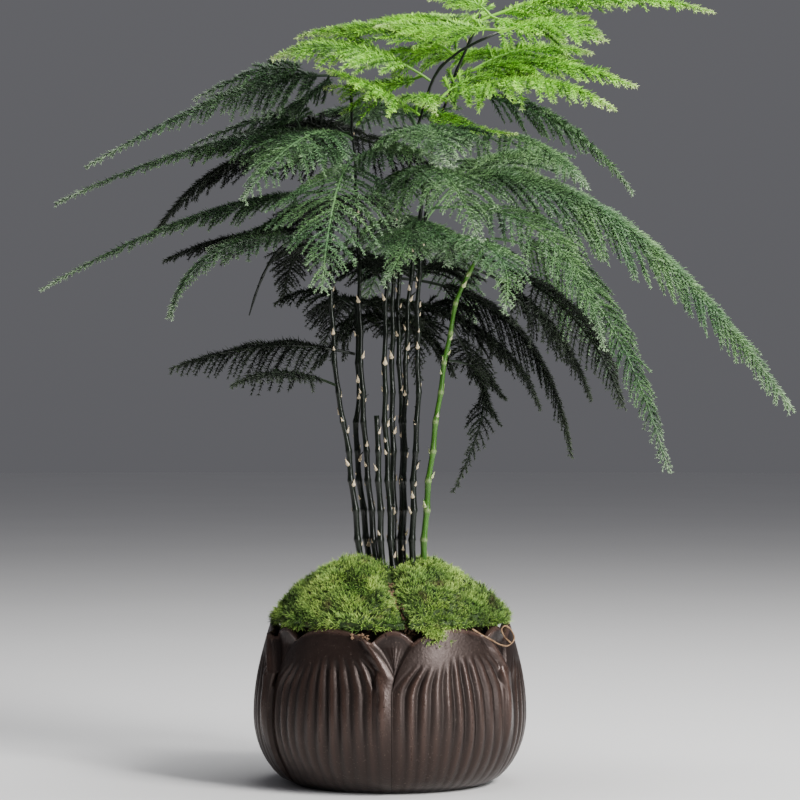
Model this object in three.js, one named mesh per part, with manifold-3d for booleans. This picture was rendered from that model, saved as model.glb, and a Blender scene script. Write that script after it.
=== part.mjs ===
// A potted lace fern (asparagus fern) in a lotus-petal stoneware bowl, in millimetres, +Z up.
// The origin is the centre of the bowl's flat foot, where it stands. -Y is the front.
import * as THREE from "three";
import { mergeVertices } from "three/addons/utils/BufferGeometryUtils.js";
import Module from "manifold-3d";

const wasm = await Module();
wasm.setup();

// Driving dimensions of the bowl
const FOOT_R = 45.5; // radius of the flat foot
const BELLY_R = 65; // widest radius
const BELLY_Z = 33; // height of the widest place
const MOUTH_R = 57; // radius at the petal tips
const TIP_Z = 75.5; // height of the petal tips
const NOTCH_Z = 69.6; // height of the rim where two petals meet
const PETALS = 6; // front petals, with as many rear petals between them
const PETAL_HALF_DEG = 180 / PETALS;
const FIRST_PETAL_DEG = -120; // azimuth of the first front petal's middle
const RIBS = 11; // ribs on each front petal
const RIB_DEPTH = 0.9;
const PETAL_RAISE = 2.6; // how far a front petal stands out of the rear ones
const EDGE_LIFT = 1.2; // how far a petal's right edge lies over its neighbour
const SHOULDER_Z = 47; // above this height the front petals narrow towards their tips
const OUTLINE_RISE = 33; // height of a front petal's rounded outline above the shoulder
const LEFT_SHARE = 0.96; // share of its half sector that a petal's left half fills at the shoulder
const RIGHT_SHARE = 1.12; // the same for its right half, which lies over the next petal
const PETAL_GAP = 0.02; // share of a half sector that stays between two petals
const FLARE_Z = 67; // above this height the rear petals flare out to the rim
const OUTSIDE_SHARES = [0, 0.045, 0.15, 0.32, 0.49, 0.64, 0.77, 0.9, 1]; // rows, from foot to rim
const LIP = 3.2; // thickness of the rim
const LIP_DROP = 0.6; // how far the rim's inner edge lies below its outer edge
const FLOOR_Z = 7; // height of the floor inside
const DRAIN_HOLES = 3;
const DRAIN_R = 4; // radius of each drain hole
const DRAIN_RING_R = 20; // radius of the ring that the drain holes stand on
const INNER_WALL = [
  // radius and height of the inside, from the rim down to the floor
  [52.5, 60],
  [59, 36],
  [55, 14],
  [44, FLOOR_Z],
];

// Driving dimensions of the planting
const SEAT = 0.4; // gap between pieces that touch
const SOIL_HEAP = [
  // radius and height of the soil above the inside wall, up to its flat top
  [50.4, 72],
  [45.4, 80.4],
  [36, 89],
  [22, 97],
];
const SOIL_TOP_Z = 97;
const SOIL_SIDES = 28;
const MOSS = [
  // the cushions' azimuths and fullness
  { name: "moss_front_left", from: 173, to: 273, full: 1 },
  { name: "moss_front_right", from: 276, to: 371, full: 0.85 },
  { name: "moss_back_right", from: 17, to: 91, full: 0.9 },
  { name: "moss_back_left", from: 97, to: 167, full: 0.9 },
];
const MOSS_STEPS = 9;
const MOSS_LEAST = 2.5; // thickness of the moss at its thinnest
const SEAM_WAVE_DEG = 4; // how far the seams between the cushions wander
const MOSS_UNDER = [
  // radius and height of a cushion's underside, from the canes out to the rim
  [21, 98.2],
  [36, 90.4],
  [45.8, 81.7],
  [51, 76.4],
  [55, 76.2],
];
const MOSS_OVER = [
  // radius and height of its top, from the rim back to the canes, with the underside's point below
  [56.5, 79.5, 4],
  [53.5, 85, 3],
  [46.5, 92.5, 2],
  [36, 99.5, 1],
  [27, 104, 0],
  [20, 105.5, 0],
];
const CANE_SINK_Z = 46; // the canes reach down to this height in the soil
const CANE_R = 1.6; // radius of a cane at its foot
const CANE_TIP_R = 0.7;
const CANE_TAPER = 210; // length over which a cane thins to its top radius
const CANE_SIDES = 5;
const JOINT_STEP = 14; // distance between two joints of a cane
const JOINT_SWELL = 1.22; // a joint's radius over the cane's
const BLADE_T = 0.7; // thickness of the fern's sprays
const RIB_HALF = 0.8; // half the width of a spray's midrib
const BARE_SHARE = 0.14; // share of the midrib next to the cane that has no side sprays
const SIDE_STEP = 8.4; // distance between side sprays along the midrib
const SIDE_ANGLE = 56; // degrees between a side spray and the midrib

const COLOURS = {
  clay: new THREE.MeshStandardMaterial({ color: 0x2e2623, roughness: 0.5 }),
  soil: new THREE.MeshStandardMaterial({ color: 0x2a1d14, roughness: 1 }),
  moss: new THREE.MeshStandardMaterial({ color: 0x5d8f2b, roughness: 1 }),
  cane: new THREE.MeshStandardMaterial({ color: 0x18211a, roughness: 0.5 }),
  green_cane: new THREE.MeshStandardMaterial({ color: 0x4f8a22, roughness: 0.5 }),
  bright: new THREE.MeshStandardMaterial({ color: 0x7cc832, roughness: 0.7 }),
  green: new THREE.MeshStandardMaterial({ color: 0x3f7a35, roughness: 0.7 }),
  dark: new THREE.MeshStandardMaterial({ color: 0x1f3320, roughness: 0.8 }),
};

// Each cane's centre line above the soil, from its foot to its top
const CANES = {
  cane_1: [[-13, -2, 97], [-20.5, -3, 162], [-25, -3, 187], [-28, -2, 236], [-27, 0, 281]],
  cane_2: [[-9, 6, 97], [-16, 8, 158], [-15, 9.5, 184], [-16, 13, 226]],
  cane_3: [[-6, 1, 97], [-11.5, 3, 158], [-14, 4.5, 205], [-15.5, 8, 270], [-19.5, 8, 336]],
  cane_4: [[-3.5, -6, 97], [-5.5, -6.5, 150], [-6.7, -6.5, 174]],
  cane_5: [
    [1.5, -6.5, 97], [-1, -4, 148], [-2.4, -3, 181], [-1, 0, 240], [9, -2, 290], [19, -6, 330],
    [32, -12, 345], [51, -18, 354],
  ],
  cane_6: [[2, 4, 97], [1.4, 5, 158], [1, 6, 196], [2.4, 4, 286]],
  cane_7: [[6, 0, 97], [6.7, 2, 148], [7, 5, 181], [10, 8, 240], [19, 8, 296], [27, 8, 325], [43, 6, 366]],
  cane_8: [[10.5, -3.5, 97], [11.5, -4, 148], [13.3, -4, 181], [13.5, -4, 234], [18, -6, 281]],
  cane_9: [[15.5, -3.5, 97], [17.6, -5, 134], [22, -6, 172], [27, -6, 205], [33, -6, 232], [46, -6, 258]],
  cane_10: [[5, 10, 97], [6, 13, 160], [4, 16, 215], [5, 20, 271]],
};
const GREEN_CANE = "cane_9";

// The sprays: the cane each grows from, the height there, the middle and the tip of its midrib,
// the length of its longest side spray, how far a side spray's tip hangs for its length, its roll
// about the midrib in degrees and its colour.
const spray = (name, cane, at, mid, tip, wide, droop, roll, tone) => ({
  name: "spray_" + name, cane, at, mid, tip, wide, droop, roll, tone,
});
const SPRAYS = [
  spray("top_right", "cane_7", 362, [96, 8, 375], [154, 0, 366], 38, 0.2, 16, "bright"),
  spray("top_back", "cane_7", 352, [20, 32, 368], [-14, 58, 366], 54, 0.15, -8, "bright"),
  spray("crown_right", "cane_5", 353.3, [76, -25, 357], [99, -36, 348], 42, 0.15, 22, "bright"),
  spray("crown_far_right", "cane_7", 336, [72, 8, 343], [117, -4, 330], 44, 0.2, 18, "bright"),
  spray("crown_low_right", "cane_5", 318, [60, -42, 329], [101, -66, 314], 42, 0.3, 14, "bright"),
  spray("crown_back_left", "cane_5", 344, [-2, 8, 360], [-44, 18, 357], 54, 0.15, -12, "bright"),
  spray("crown_left", "cane_5", 332, [-16, -20, 346], [-54, -28, 341], 52, 0.15, -22, "bright"),
  spray("crown_low_left", "cane_5", 316, [-6, -20, 327], [-32, -30, 336], 30, 0.2, -26, "bright"),
  spray("crown_front", "cane_5", 300, [20, -44, 307], [26, -86, 286], 46, 0.32, 0, "green"),
  spray("right_hook", "cane_7", 329, [79, -6, 313], [114, -22, 278], 23, 0.3, -30, "green"),
  spray("left_arm_1", "cane_3", 336, [-72, -4, 327], [-144, -12, 291], 38, 0.3, -28, "green"),
  spray("left_arm_2", "cane_3", 309, [-84, 14, 304.5], [-162, 20, 276], 38, 0.3, -22, "green"),
  spray("left_back", "cane_3", 298, [-74, 42, 300], [-117, 58, 264], 46, 0.35, -16, "dark"),
  spray("left_arm_3", "cane_1", 280, [-90, 2, 270], [-166, -4, 233.5], 40, 0.3, -10, "green"),
  spray("left_front", "cane_1", 258, [-78, -34, 251], [-101, -52, 219], 24, 0.3, -10, "green"),
  spray("left_low_back", "cane_1", 262, [-73, 36, 262], [-112, 54, 250], 32, 0.3, -16, "dark"),
  spray("left_inner_back", "cane_1", 254, [-45, 50, 254], [-54, 80, 232], 30, 0.28, 0, "dark"),
  spray("bare_twig", "cane_1", 250, [-50, -14, 254], [-66, -20, 221], 0, 0, 0, "dark"),
  spray("back_left", "cane_2", 222, [-22, 42, 230], [-34, 78, 208], 36, 0.5, 0, "dark"),
  spray("low_left", "cane_2", 203, [-59, -4, 206.5], [-104, -10, 196], 38, 0.55, -26, "dark"),
  spray("low_left_front", "cane_1", 188, [-50, -38, 194], [-72, -56, 188], 18, 0.3, -10, "dark"),
  spray("front_face", "cane_3", 297, [-25, -55, 274], [-30, -95, 229], 52, 0.28, 0, "green"),
  spray("front_right_face", "cane_5", 290, [26, -50, 284], [40, -85, 253], 46, 0.4, 0, "green"),
  spray("front_low", "cane_5", 262, [8, -45, 256], [-3, -78, 233], 28, 0.28, 0, "green"),
  spray("front_right_low", "cane_8", 260, [48, -55, 249.5], [51, -87, 220], 29, 0.28, 0, "green"),
  spray("right_bright", "cane_8", 272, [72, -36, 258], [98, -55, 204], 30, 0.3, 25, "green"),
  spray("right_arm", "cane_8", 281, [101, 2, 272], [192, -5, 175], 37, 0.75, 24, "green"),
  spray("right_fall", "cane_9", 258, [96, -10, 229], [131, -18, 147], 34, 0.5, 50, "green"),
  spray("right_strand_1", "cane_9", 250, [84, -44, 220], [106, -62, 178], 28, 0.6, 20, "dark"),
  spray("right_strand_2", "cane_9", 244, [75, 16, 221], [98, 30, 181], 34, 0.6, 20, "dark"),
  spray("right_dark_1", "cane_10", 240, [61, 34, 216], [89, 40, 153], 32, 0.5, 35, "dark"),
  spray("right_dark_2", "cane_10", 230, [49, 52, 213], [75, 72, 177], 31, 0.5, 20, "dark"),
  spray("hanging", "cane_9", 200, [45, 8, 184], [30, 8, 137], 22, 0.3, 50, "dark"),
  spray("right_dark_3", "cane_9", 218, [41, 34, 199], [57, 48, 182], 22, 0.4, 10, "dark"),
  spray("back_grey", "cane_8", 266, [59, 56, 304], [99, 87, 290], 53, 0.3, 0, "green"),
  spray("back_1", "cane_10", 270, [2, 75, 265], [-13, 115, 233], 52, 0.35, 0, "green"),
  spray("back_2", "cane_10", 258, [27, 72, 257], [41, 108, 220], 48, 0.35, 0, "green"),
  spray("back_3", "cane_6", 276, [-30, 64, 279], [-46, 100, 258], 48, 0.35, 0, "dark"),
  spray("back_low", "cane_10", 206, [10, 51, 221], [14, 82, 190], 28, 0.5, 0, "dark"),
  spray("back_left_high", "cane_3", 305, [-41, 54, 318], [-66, 95, 300], 46, 0.3, 0, "dark"),
  spray("back_top", "cane_7", 338, [44, 54, 354], [68, 95, 346], 48, 0.2, 0, "bright"),
  spray("mid_left_face", "cane_3", 306, [-41, -30, 303], [-67, -62, 272], 46, 0.4, -8, "green"),
  spray("mid_right_face", "cane_7", 306, [60, -25, 304], [90, -51, 279], 40, 0.4, 8, "green"),
  spray("back_crown", "cane_5", 308, [0, 50, 327], [-28, 90, 316], 56, 0.24, 0, "green"),
];

const RAD = Math.PI / 180;
const UP = new THREE.Vector3(0, 0, 1);
const vec = (p) => new THREE.Vector3(...p);
const clamp01 = (x) => Math.min(1, Math.max(0, x));
const smooth = (x) => clamp01(x) ** 2 * (3 - 2 * clamp01(x));
const around = (r, degrees, z) => [r * Math.cos(degrees * RAD), r * Math.sin(degrees * RAD), z];

function geometryOf(points, triangles) {
  const made = new THREE.BufferGeometry();
  made.setAttribute("position", new THREE.Float32BufferAttribute(points.flat(), 3));
  made.setIndex(triangles.flat());
  return made;
}

// The sides of a stack of rings with n points each, which ends with the ring that starts at last
function sidesOf(n, last) {
  const triangles = [];
  for (let i = 0; i < last; i += n)
    for (let j = 0; j < n; j++) {
      const k = (j + 1) % n;
      triangles.push([i + j, i + k, i + n + k], [i + j, i + n + k, i + n + j]);
    }
  return triangles;
}

// A closed skin over a stack of rings with equally many points, each end closed by a fan
function ringStack(rings, lowCentre, highCentre) {
  const n = rings[0].length;
  const points = [...rings.flat(), lowCentre, highCentre];
  const low = n * rings.length;
  const last = n * (rings.length - 1);
  const triangles = sidesOf(n, last);
  for (let j = 0; j < n; j++) {
    const k = (j + 1) % n;
    triangles.push([low, k, j], [low + 1, last + j, last + k]);
  }
  return geometryOf(points, triangles);
}

function solidOf(geometry) {
  const bare = geometry.clone();
  bare.deleteAttribute("normal");
  bare.deleteAttribute("uv");
  const merged = mergeVertices(bare, 1e-4);
  return new wasm.Manifold(
    new wasm.Mesh({
      numProp: 3,
      vertProperties: new Float32Array(merged.attributes.position.array),
      triVerts: new Uint32Array(merged.index.array),
    }),
  );
}

function cut(geometry, cutters) {
  const left = cutters.reduce((solid, cutter) => solid.subtract(solidOf(cutter)), solidOf(geometry));
  const mesh = left.getMesh();
  const made = new THREE.BufferGeometry();
  made.setAttribute("position", new THREE.Float32BufferAttribute(mesh.vertProperties, 3));
  made.setIndex([...mesh.triVerts]);
  return made;
}

function piece(name, geometry, colour) {
  geometry.computeVertexNormals();
  const mesh = new THREE.Mesh(geometry, COLOURS[colour]);
  mesh.name = name;
  return mesh;
}

// The bowl's outline without its petals: a rounded haunch, then a curve in to the mouth
function bowlRadius(z) {
  const swell = BELLY_R - FOOT_R;
  if (z <= BELLY_Z) return FOOT_R + swell * Math.sqrt(1 - (1 - z / BELLY_Z) ** 2) ** 1.25;
  const quarter = ((z - BELLY_Z) / (TIP_Z - BELLY_Z)) * (Math.PI / 2);
  return MOUTH_R + (BELLY_R - MOUTH_R) * Math.cos(quarter);
}

// The shares of its half sectors that a front petal fills, left and right, at height z
function petalShares(z) {
  const round = (1 - clamp01((z - SHOULDER_Z) / OUTLINE_RISE) ** (1 / 0.6)) ** (1 / 1.8);
  const left = LEFT_SHARE * round;
  return { left, right: Math.min(RIGHT_SHARE * round, 2 - left - PETAL_GAP) };
}

// The columns round the bowl: those of a front petal run from w -1 to 1 and follow its ribs,
// and those of the rear petal on its right run from g 0 to 1.
function bowlColumns() {
  const columns = [];
  for (let k = 0; k < PETALS; k++) {
    const middle = FIRST_PETAL_DEG + 2 * k * PETAL_HALF_DEG;
    for (let i = 0; i <= 2 * RIBS; i++) columns.push({ middle, w: i / RIBS - 1 });
    for (const g of [0.125, 0.375, 0.625, 0.875]) columns.push({ middle, g });
  }
  return columns;
}

function columnTop({ w, g }) {
  const rise = g === undefined ? 1 - Math.abs(w) ** 2.2 : 0.92 * Math.sin(Math.PI * g) ** 0.8;
  return NOTCH_Z + (TIP_Z - NOTCH_Z) * rise;
}

function columnAzimuth({ middle, w, g }, share) {
  const { left, right } = petalShares(share * NOTCH_Z);
  const onPetal = w < 0 ? left * w : right * w;
  return middle + PETAL_HALF_DEG * (g === undefined ? onPetal : right + (2 - left - right) * g);
}

// How far a front petal stands out, with its ribs and with its right edge over its neighbour
function frontRelief(w, share) {
  const rib = Math.sin((Math.PI * RIBS * (w + 1)) / 2) ** 2;
  const fade = smooth((1 - share) / 0.14) * smooth((1 - Math.abs(w)) / 0.12);
  return EDGE_LIFT * w ** 3 + RIB_DEPTH * (rib - 1) * fade;
}

// How far a rear petal lies back: a groove below the shoulder, the petal above it, flared at the rim
function rearRelief(g, z) {
  const parted = smooth((z - SHOULDER_Z) / 8);
  const flare = 1 - smooth((z - FLARE_Z) / (TIP_Z - FLARE_Z));
  const recess = PETAL_RAISE * (0.75 + 0.25 * Math.abs(2 * g - 1)) * flare;
  return -(EDGE_LIFT + (recess - EDGE_LIFT) * parted);
}

// A point of the outside, a share of the way up a column
function bowlPoint(column, share, inwards = 0) {
  const { w, g } = column;
  const z = share * columnTop(column);
  const foot = smooth(z / 12);
  const relief = foot * (g === undefined ? frontRelief(w, share) : rearRelief(g, z));
  return around(bowlRadius(z) + relief - inwards, columnAzimuth(column, share), z);
}

function makeBowl() {
  const columns = bowlColumns();
  const rings = OUTSIDE_SHARES.map((share) => columns.map((column) => bowlPoint(column, share)));
  rings.push(columns.map((column) => {
    const [x, y, z] = bowlPoint(column, 1, LIP);
    return [x, y, z - LIP_DROP];
  }));
  const step = 360 / columns.length;
  const first = FIRST_PETAL_DEG - PETAL_HALF_DEG + step / 2;
  for (const [r, z] of INNER_WALL) rings.push(columns.map((_, i) => around(r, first + i * step, z)));
  const drains = [];
  for (let i = 0; i < DRAIN_HOLES; i++) {
    const hole = new THREE.CylinderGeometry(DRAIN_R, DRAIN_R, 4 * FLOOR_Z, 12);
    hole.rotateX(Math.PI / 2);
    hole.translate(...around(DRAIN_RING_R, 90 + (i * 360) / DRAIN_HOLES, 0));
    drains.push(hole);
  }
  return piece("bowl", cut(ringStack(rings, [0, 0, 0], [0, 0, FLOOR_Z]), drains), "clay");
}

// A curve through points, as a uniform Catmull-Rom spline whose ends run on straight
function curveThrough(points) {
  const p = points.map(vec);
  const first = p[0].clone().multiplyScalar(2).sub(p[1]);
  const last = p.at(-1).clone().multiplyScalar(2).sub(p.at(-2));
  const all = [first, ...p, last];
  return (t) => {
    const place = clamp01(t) * (p.length - 1);
    const i = Math.min(Math.floor(place), p.length - 2);
    const u = place - i;
    const weights = [
      (-u + 2 * u * u - u ** 3) / 2,
      (2 - 5 * u * u + 3 * u ** 3) / 2,
      (u + 4 * u * u - 3 * u ** 3) / 2,
      (-u * u + u ** 3) / 2,
    ];
    return weights.reduce((sum, weight, k) => sum.addScaledVector(all[i + k], weight), new THREE.Vector3());
  };
}

// A cane's centre line at height z: upright in the soil, then along its curve
function caneAt(points, z) {
  if (z <= SOIL_TOP_Z) return vec([points[0][0], points[0][1], z]);
  const curve = curveThrough(points);
  let [low, high] = [0, 1];
  for (let i = 0; i < 30; i++) {
    const t = (low + high) / 2;
    if (curve(t).z < z) low = t;
    else high = t;
  }
  return curve(low);
}

const caneDirection = (points, z) => caneAt(points, z + 1).sub(caneAt(points, z - 1)).normalize();
const caneRadius = (z) => CANE_R + (CANE_TIP_R - CANE_R) * clamp01((z - SOIL_TOP_Z) / CANE_TAPER);

// A tube along a cane, through places that give a height and a radius
function caneTube(points, places) {
  const rings = places.map(([z, r]) => {
    const along = caneDirection(points, z);
    const side = new THREE.Vector3(0, 1, 0).cross(along).normalize();
    return Array.from({ length: CANE_SIDES }, (_, k) => {
      const out = side.clone().applyAxisAngle(along, (k / CANE_SIDES) * 2 * Math.PI);
      return caneAt(points, z).addScaledVector(out, r).toArray();
    });
  });
  const [low, high] = [places[0][0], places.at(-1)[0]];
  return ringStack(rings, caneAt(points, low).toArray(), caneAt(points, high).toArray());
}

function makeCane([name, points]) {
  const top = points.at(-1)[2];
  const places = [[CANE_SINK_Z, CANE_R], [SOIL_TOP_Z, CANE_R]];
  for (let z = SOIL_TOP_Z + 4; z < top - JOINT_STEP / 2; z += JOINT_STEP) {
    const between = z + JOINT_STEP / 2;
    places.push([z, caneRadius(z) * JOINT_SWELL], [between, caneRadius(between)]);
  }
  places.push([top, caneRadius(top)]);
  return piece(name, caneTube(points, places), name === GREEN_CANE ? "green_cane" : "cane");
}

// The soil fills the bowl and heaps up under the moss, with a plain hole for each cane.
function makeSoil() {
  const inside = INNER_WALL.map(([r, z]) => [r - 1.5 * SEAT, Math.max(z, FLOOR_Z + SEAT)]).reverse();
  const rings = [...inside, ...SOIL_HEAP].map(([r, z]) =>
    Array.from({ length: SOIL_SIDES }, (_, i) => around(r, (i * 360) / SOIL_SIDES, z)));
  const heap = ringStack(rings, [0, 0, FLOOR_Z + SEAT], [0, 0, SOIL_TOP_Z]);
  const r = CANE_R + SEAT;
  const places = [[CANE_SINK_Z - SEAT, r], [SOIL_TOP_Z, r], [SOIL_TOP_Z + 5, r]];
  return piece("soil", cut(heap, Object.values(CANES).map((points) => caneTube(points, places))), "soil");
}

// A cushion of moss: slices round the bowl's axis, thinner towards both ends, with a lumpy top
function makeMoss({ name, from, to, full }) {
  const rings = [];
  const ends = [];
  for (let i = 0; i <= MOSS_STEPS; i++) {
    const azimuth = from + ((to - from) * i) / MOSS_STEPS;
    const end = Math.abs((2 * i) / MOSS_STEPS - 1);
    const swell = full * Math.max(0.3, Math.sqrt(1 - end ** 3));
    const over = MOSS_OVER.map(([r, z, below], k) => {
      const [r0, z0] = MOSS_UNDER[below];
      const lump = 1 + 0.1 * Math.sin(azimuth * 0.16 + k * 1.7) + 0.07 * Math.sin(azimuth * 0.31 - k * 2.3);
      return [r0 + (r - r0) * swell, z0 + Math.max(MOSS_LEAST, (z - z0) * swell * lump)];
    });
    const slice = [...MOSS_UNDER, ...over].reverse();
    rings.push(slice.map(([r, z]) => around(r, azimuth + SEAM_WAVE_DEG * Math.sin(r / 7), z)));
    if (end === 1)
      ends.push(THREE.ShapeUtils.triangulateShape(slice.map((p) => new THREE.Vector2(...p)), []));
  }
  const n = rings[0].length;
  const last = n * MOSS_STEPS;
  const high = ends[1].map(([a, b, c]) => [last + a, last + c, last + b]);
  return piece(name, geometryOf(rings.flat(), [...sidesOf(n, last), ...ends[0], ...high]), "moss");
}

// A closed sheet: faces over points, and the same faces a thickness below along the points' normals
function sheet(points, normals, faces) {
  const n = points.length;
  const below = points.map((p, i) => p.clone().addScaledVector(normals[i], -BLADE_T));
  const edges = new Map();
  for (const [a, b, c] of faces)
    for (const [p, q] of [[a, b], [b, c], [c, a]])
      if (!edges.delete(q + "_" + p)) edges.set(p + "_" + q, [p, q]);
  const triangles = faces.flatMap(([a, b, c]) => [[a, b, c], [a + n, c + n, b + n]]);
  for (const [p, q] of edges.values()) triangles.push([p, p + n, q + n], [p, q + n, q]);
  return geometryOf([...points, ...below].map((p) => p.toArray()), triangles);
}

// A spray's midrib as a curve with one bend, from just clear of its cane through mid to tip
function midribOf({ cane, at, mid, tip }) {
  const points = CANES[cane];
  const root = caneAt(points, at);
  const bendFrom = (start) =>
    vec(mid).multiplyScalar(2).addScaledVector(start, -0.5).addScaledVector(vec(tip), -0.5);
  const leave = bendFrom(root).sub(root).normalize();
  const slant = Math.max(0.6, leave.clone().cross(caneDirection(points, at)).length());
  const start = root.clone().addScaledVector(leave, (caneRadius(at) * JOINT_SWELL + SEAT) / slant);
  return new THREE.QuadraticBezierCurve3(start, bendFrom(start), vec(tip));
}

// One spray: a thin arching blade, with pointed side sprays cut to the rib on both edges
function makeSpray(spec) {
  const { name, wide, droop, roll, tone } = spec;
  const midrib = midribOf(spec);
  const frameAt = (t) => {
    const forward = midrib.getTangent(t).normalize();
    const side = forward.clone().cross(UP).normalize().applyAxisAngle(forward, roll * RAD);
    return { forward, side, normal: side.clone().cross(forward) };
  };
  const [points, normals, faces] = [[], [], []];
  const add = (p, normal) => {
    points.push(p);
    normals.push(normal);
    return points.length - 1;
  };
  // Both edges of the midrib at t
  const edgesAt = (t) => {
    const { side, normal } = frameAt(t);
    const half = RIB_HALF * (1 - 0.5 * t);
    return [half, -half].map((offset) => add(midrib.getPoint(t).addScaledVector(side, offset), normal));
  };
  let [right, left] = edgesAt(0);
  // The next stretch of midrib, up to t, which gives its two edges
  const growTo = (t) => {
    const [nextRight, nextLeft] = edgesAt(t);
    faces.push([right, nextRight, nextLeft], [right, nextLeft, left]);
    const edges = [[right, nextRight, 1], [nextLeft, left, -1]];
    [right, left] = [nextRight, nextLeft];
    return edges;
  };
  growTo(BARE_SHARE / 2);
  growTo(BARE_SHARE);
  const leafy = 0.97 - BARE_SHARE;
  const steps = Math.max(5, Math.round((midrib.getLength() * leafy) / SIDE_STEP));
  for (let i = 0; i < steps; i++) {
    const share = (i + 0.5) / steps;
    const edges = growTo(BARE_SHARE + (leafy * (i + 1)) / steps);
    const length = wide * (0.5 + 0.5 * smooth(share / 0.18)) * (0.08 + 0.92 * (1 - share) ** 1.15);
    const { forward, side, normal } = frameAt(BARE_SHARE + leafy * share);
    const angle = (SIDE_ANGLE - 10 * share) * RAD;
    for (const [a, b, hand] of wide > 0 ? edges : []) {
      const point = points[a].clone().lerp(points[b], 0.5)
        .addScaledVector(forward, length * Math.cos(angle))
        .addScaledVector(side, hand * length * Math.sin(angle))
        .addScaledVector(UP, -droop * length);
      faces.push([a, add(point, normal), b]);
    }
  }
  faces.push([right, add(midrib.getPoint(1), frameAt(1).normal), left]);
  return piece(name, sheet(points, normals, faces), tone);
}

const plant = new THREE.Group();
plant.name = "potted_lace_fern";
plant.add(makeBowl(), makeSoil(), ...MOSS.map(makeMoss));
plant.add(...Object.entries(CANES).map(makeCane), ...SPRAYS.map(makeSpray));

export default plant;
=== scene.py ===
"""Looks of a potted lace fern: a clay bowl pressed with lotus petals, cushions of moss, jointed
canes and flat sprays of fine needles. Sizes are in millimetres, and meshes are scaled to metres."""

from functools import cache

import bpy
import numpy as np
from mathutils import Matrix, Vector


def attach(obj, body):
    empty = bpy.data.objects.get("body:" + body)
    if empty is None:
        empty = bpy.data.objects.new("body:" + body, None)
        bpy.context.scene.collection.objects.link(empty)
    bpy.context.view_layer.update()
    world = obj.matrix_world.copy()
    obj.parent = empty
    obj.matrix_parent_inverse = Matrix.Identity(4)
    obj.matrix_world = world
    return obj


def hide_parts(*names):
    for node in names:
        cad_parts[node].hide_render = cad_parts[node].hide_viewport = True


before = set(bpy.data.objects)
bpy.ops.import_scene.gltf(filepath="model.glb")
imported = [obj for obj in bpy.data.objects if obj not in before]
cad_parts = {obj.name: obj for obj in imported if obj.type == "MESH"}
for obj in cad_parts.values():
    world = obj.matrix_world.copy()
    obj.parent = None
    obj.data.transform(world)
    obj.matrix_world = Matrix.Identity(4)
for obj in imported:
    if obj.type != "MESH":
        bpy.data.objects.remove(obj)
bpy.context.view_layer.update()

MM = 0.001
UP = np.array([0.0, 0.0, 1.0])

# The bowl. Here and below R is a radius, Z a height, and DEG an azimuth or angle in degrees
FOOT_R = 45.5
BELLY_R = 65.0  # the widest place
BELLY_Z = 33.0
MOUTH_R = 57.0  # at the petal tips
TIP_Z = 75.5
NOTCH_Z = 69.6  # the rim where two petals meet
PETALS = 6  # in front, with as many rear ones between them
PETAL_HALF_DEG = 180 / PETALS
FIRST_PETAL_DEG = -120.0  # the first front petal's middle
RIBS = 11  # on each front petal
RIB_DEPTH = 1.6
RIB_ROUNDING = 0.012  # of the grooves between the ribs
RIBS_TOP_Z = 63.0  # where a front petal's ribs start
RIBS_FADE = 9.0  # height that they take to reach their depth
REAR_RIBS = 6  # on each rear petal
REAR_RIB_DEPTH = 0.5
PETAL_RAISE = 2.6  # how far a front petal stands out of the rear ones
EDGE_LIFT = 1.2  # how far a petal's right edge lies over its neighbour
ROLL_WIDTH = 0.24  # share of a petal's half width in its rolled right edge
ROLL_RAISE = 2.1
SHOULDER_Z = 47.0  # above it the front petals narrow towards their tips
OUTLINE_RISE = 33.0  # height of their rounded outline above it
LEFT_SHARE = 0.96  # share of its half sector that a petal's left half fills at the shoulder
RIGHT_SHARE = 1.12  # the same for its right half, which lies over the next petal
PETAL_GAP = 0.02  # share of a half sector between two petals
FLARE_Z = 67.0  # above it the rear petals flare out to the rim
REAR_TIP = 0.92  # rise of a rear petal's tip, for a front one's
LIP = 3.2  # thickness of the rim
LIP_RISE = 0.9  # height of its half round
LIP_TURNS_DEG = [20, 50, 80, 110, 140, 165]
FLOOR_Z = 7.0  # inside
DRAIN_HOLES = 3
DRAIN_R = 4.0
DRAIN_RING_R = 20.0
DRILL_Z = (-9.0, 16.0)  # the drill's reach, through the floor
INNER_WALL = [(52.5, 60.0), (58.0, 48.0), (59.0, 36.0), (58.0, 24.0), (55.0, 14.0), (44.0, FLOOR_Z)]
RIB_COLUMNS = 12  # of the mesh, on each rib
RIBBED_SHARE = 0.9  # share of these columns that follow the ribs as they draw together
REAR_COLUMNS = 18  # on each rear petal
LOW_ROWS = 15  # below the shoulder
HIGH_ROWS = 36  # from there to the rim

# The planting
SEAT = 0.4  # gap between pieces that touch
SOIL_HEAP = [(50.4, 72.0), (45.4, 80.4), (36.0, 89.0), (22.0, 97.0)]
SOIL_TOP_Z = 97.0
SOIL_INSET = 0.6  # gap between the soil and the inner wall
LUMPY_Z = 70.0  # above it the soil is lumpy
SOIL_RINGS = 44
SOIL_COLUMNS = 90
SEAMS_DEG = [94.5, 170.0, 275.0, 14.0]  # the bare seams between the cushions
CRUMBS = 900  # in the seams and among the canes
CRUMBS_INSIDE = 0.35  # share of them among the canes
FRONT_SEAM_DEG = 274.5
FRONT_CRUMBS = 260
BARK_BITS = 16
BARK_PLACE = np.array([-13.0, -55.5, 73.0])
MOSS = {
    # first and last azimuth and fullness of each cushion
    "moss_front_left": (173.0, 273.0, 1.0),
    "moss_front_right": (276.0, 371.0, 0.85),
    "moss_back_right": (17.0, 91.0, 0.9),
    "moss_back_left": (97.0, 167.0, 0.9),
}
SEAM_WAVE_DEG = 4.0  # how far the seams swing aside
SEAM_WAVE_R = 7.0  # change of radius for one radian of that
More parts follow.
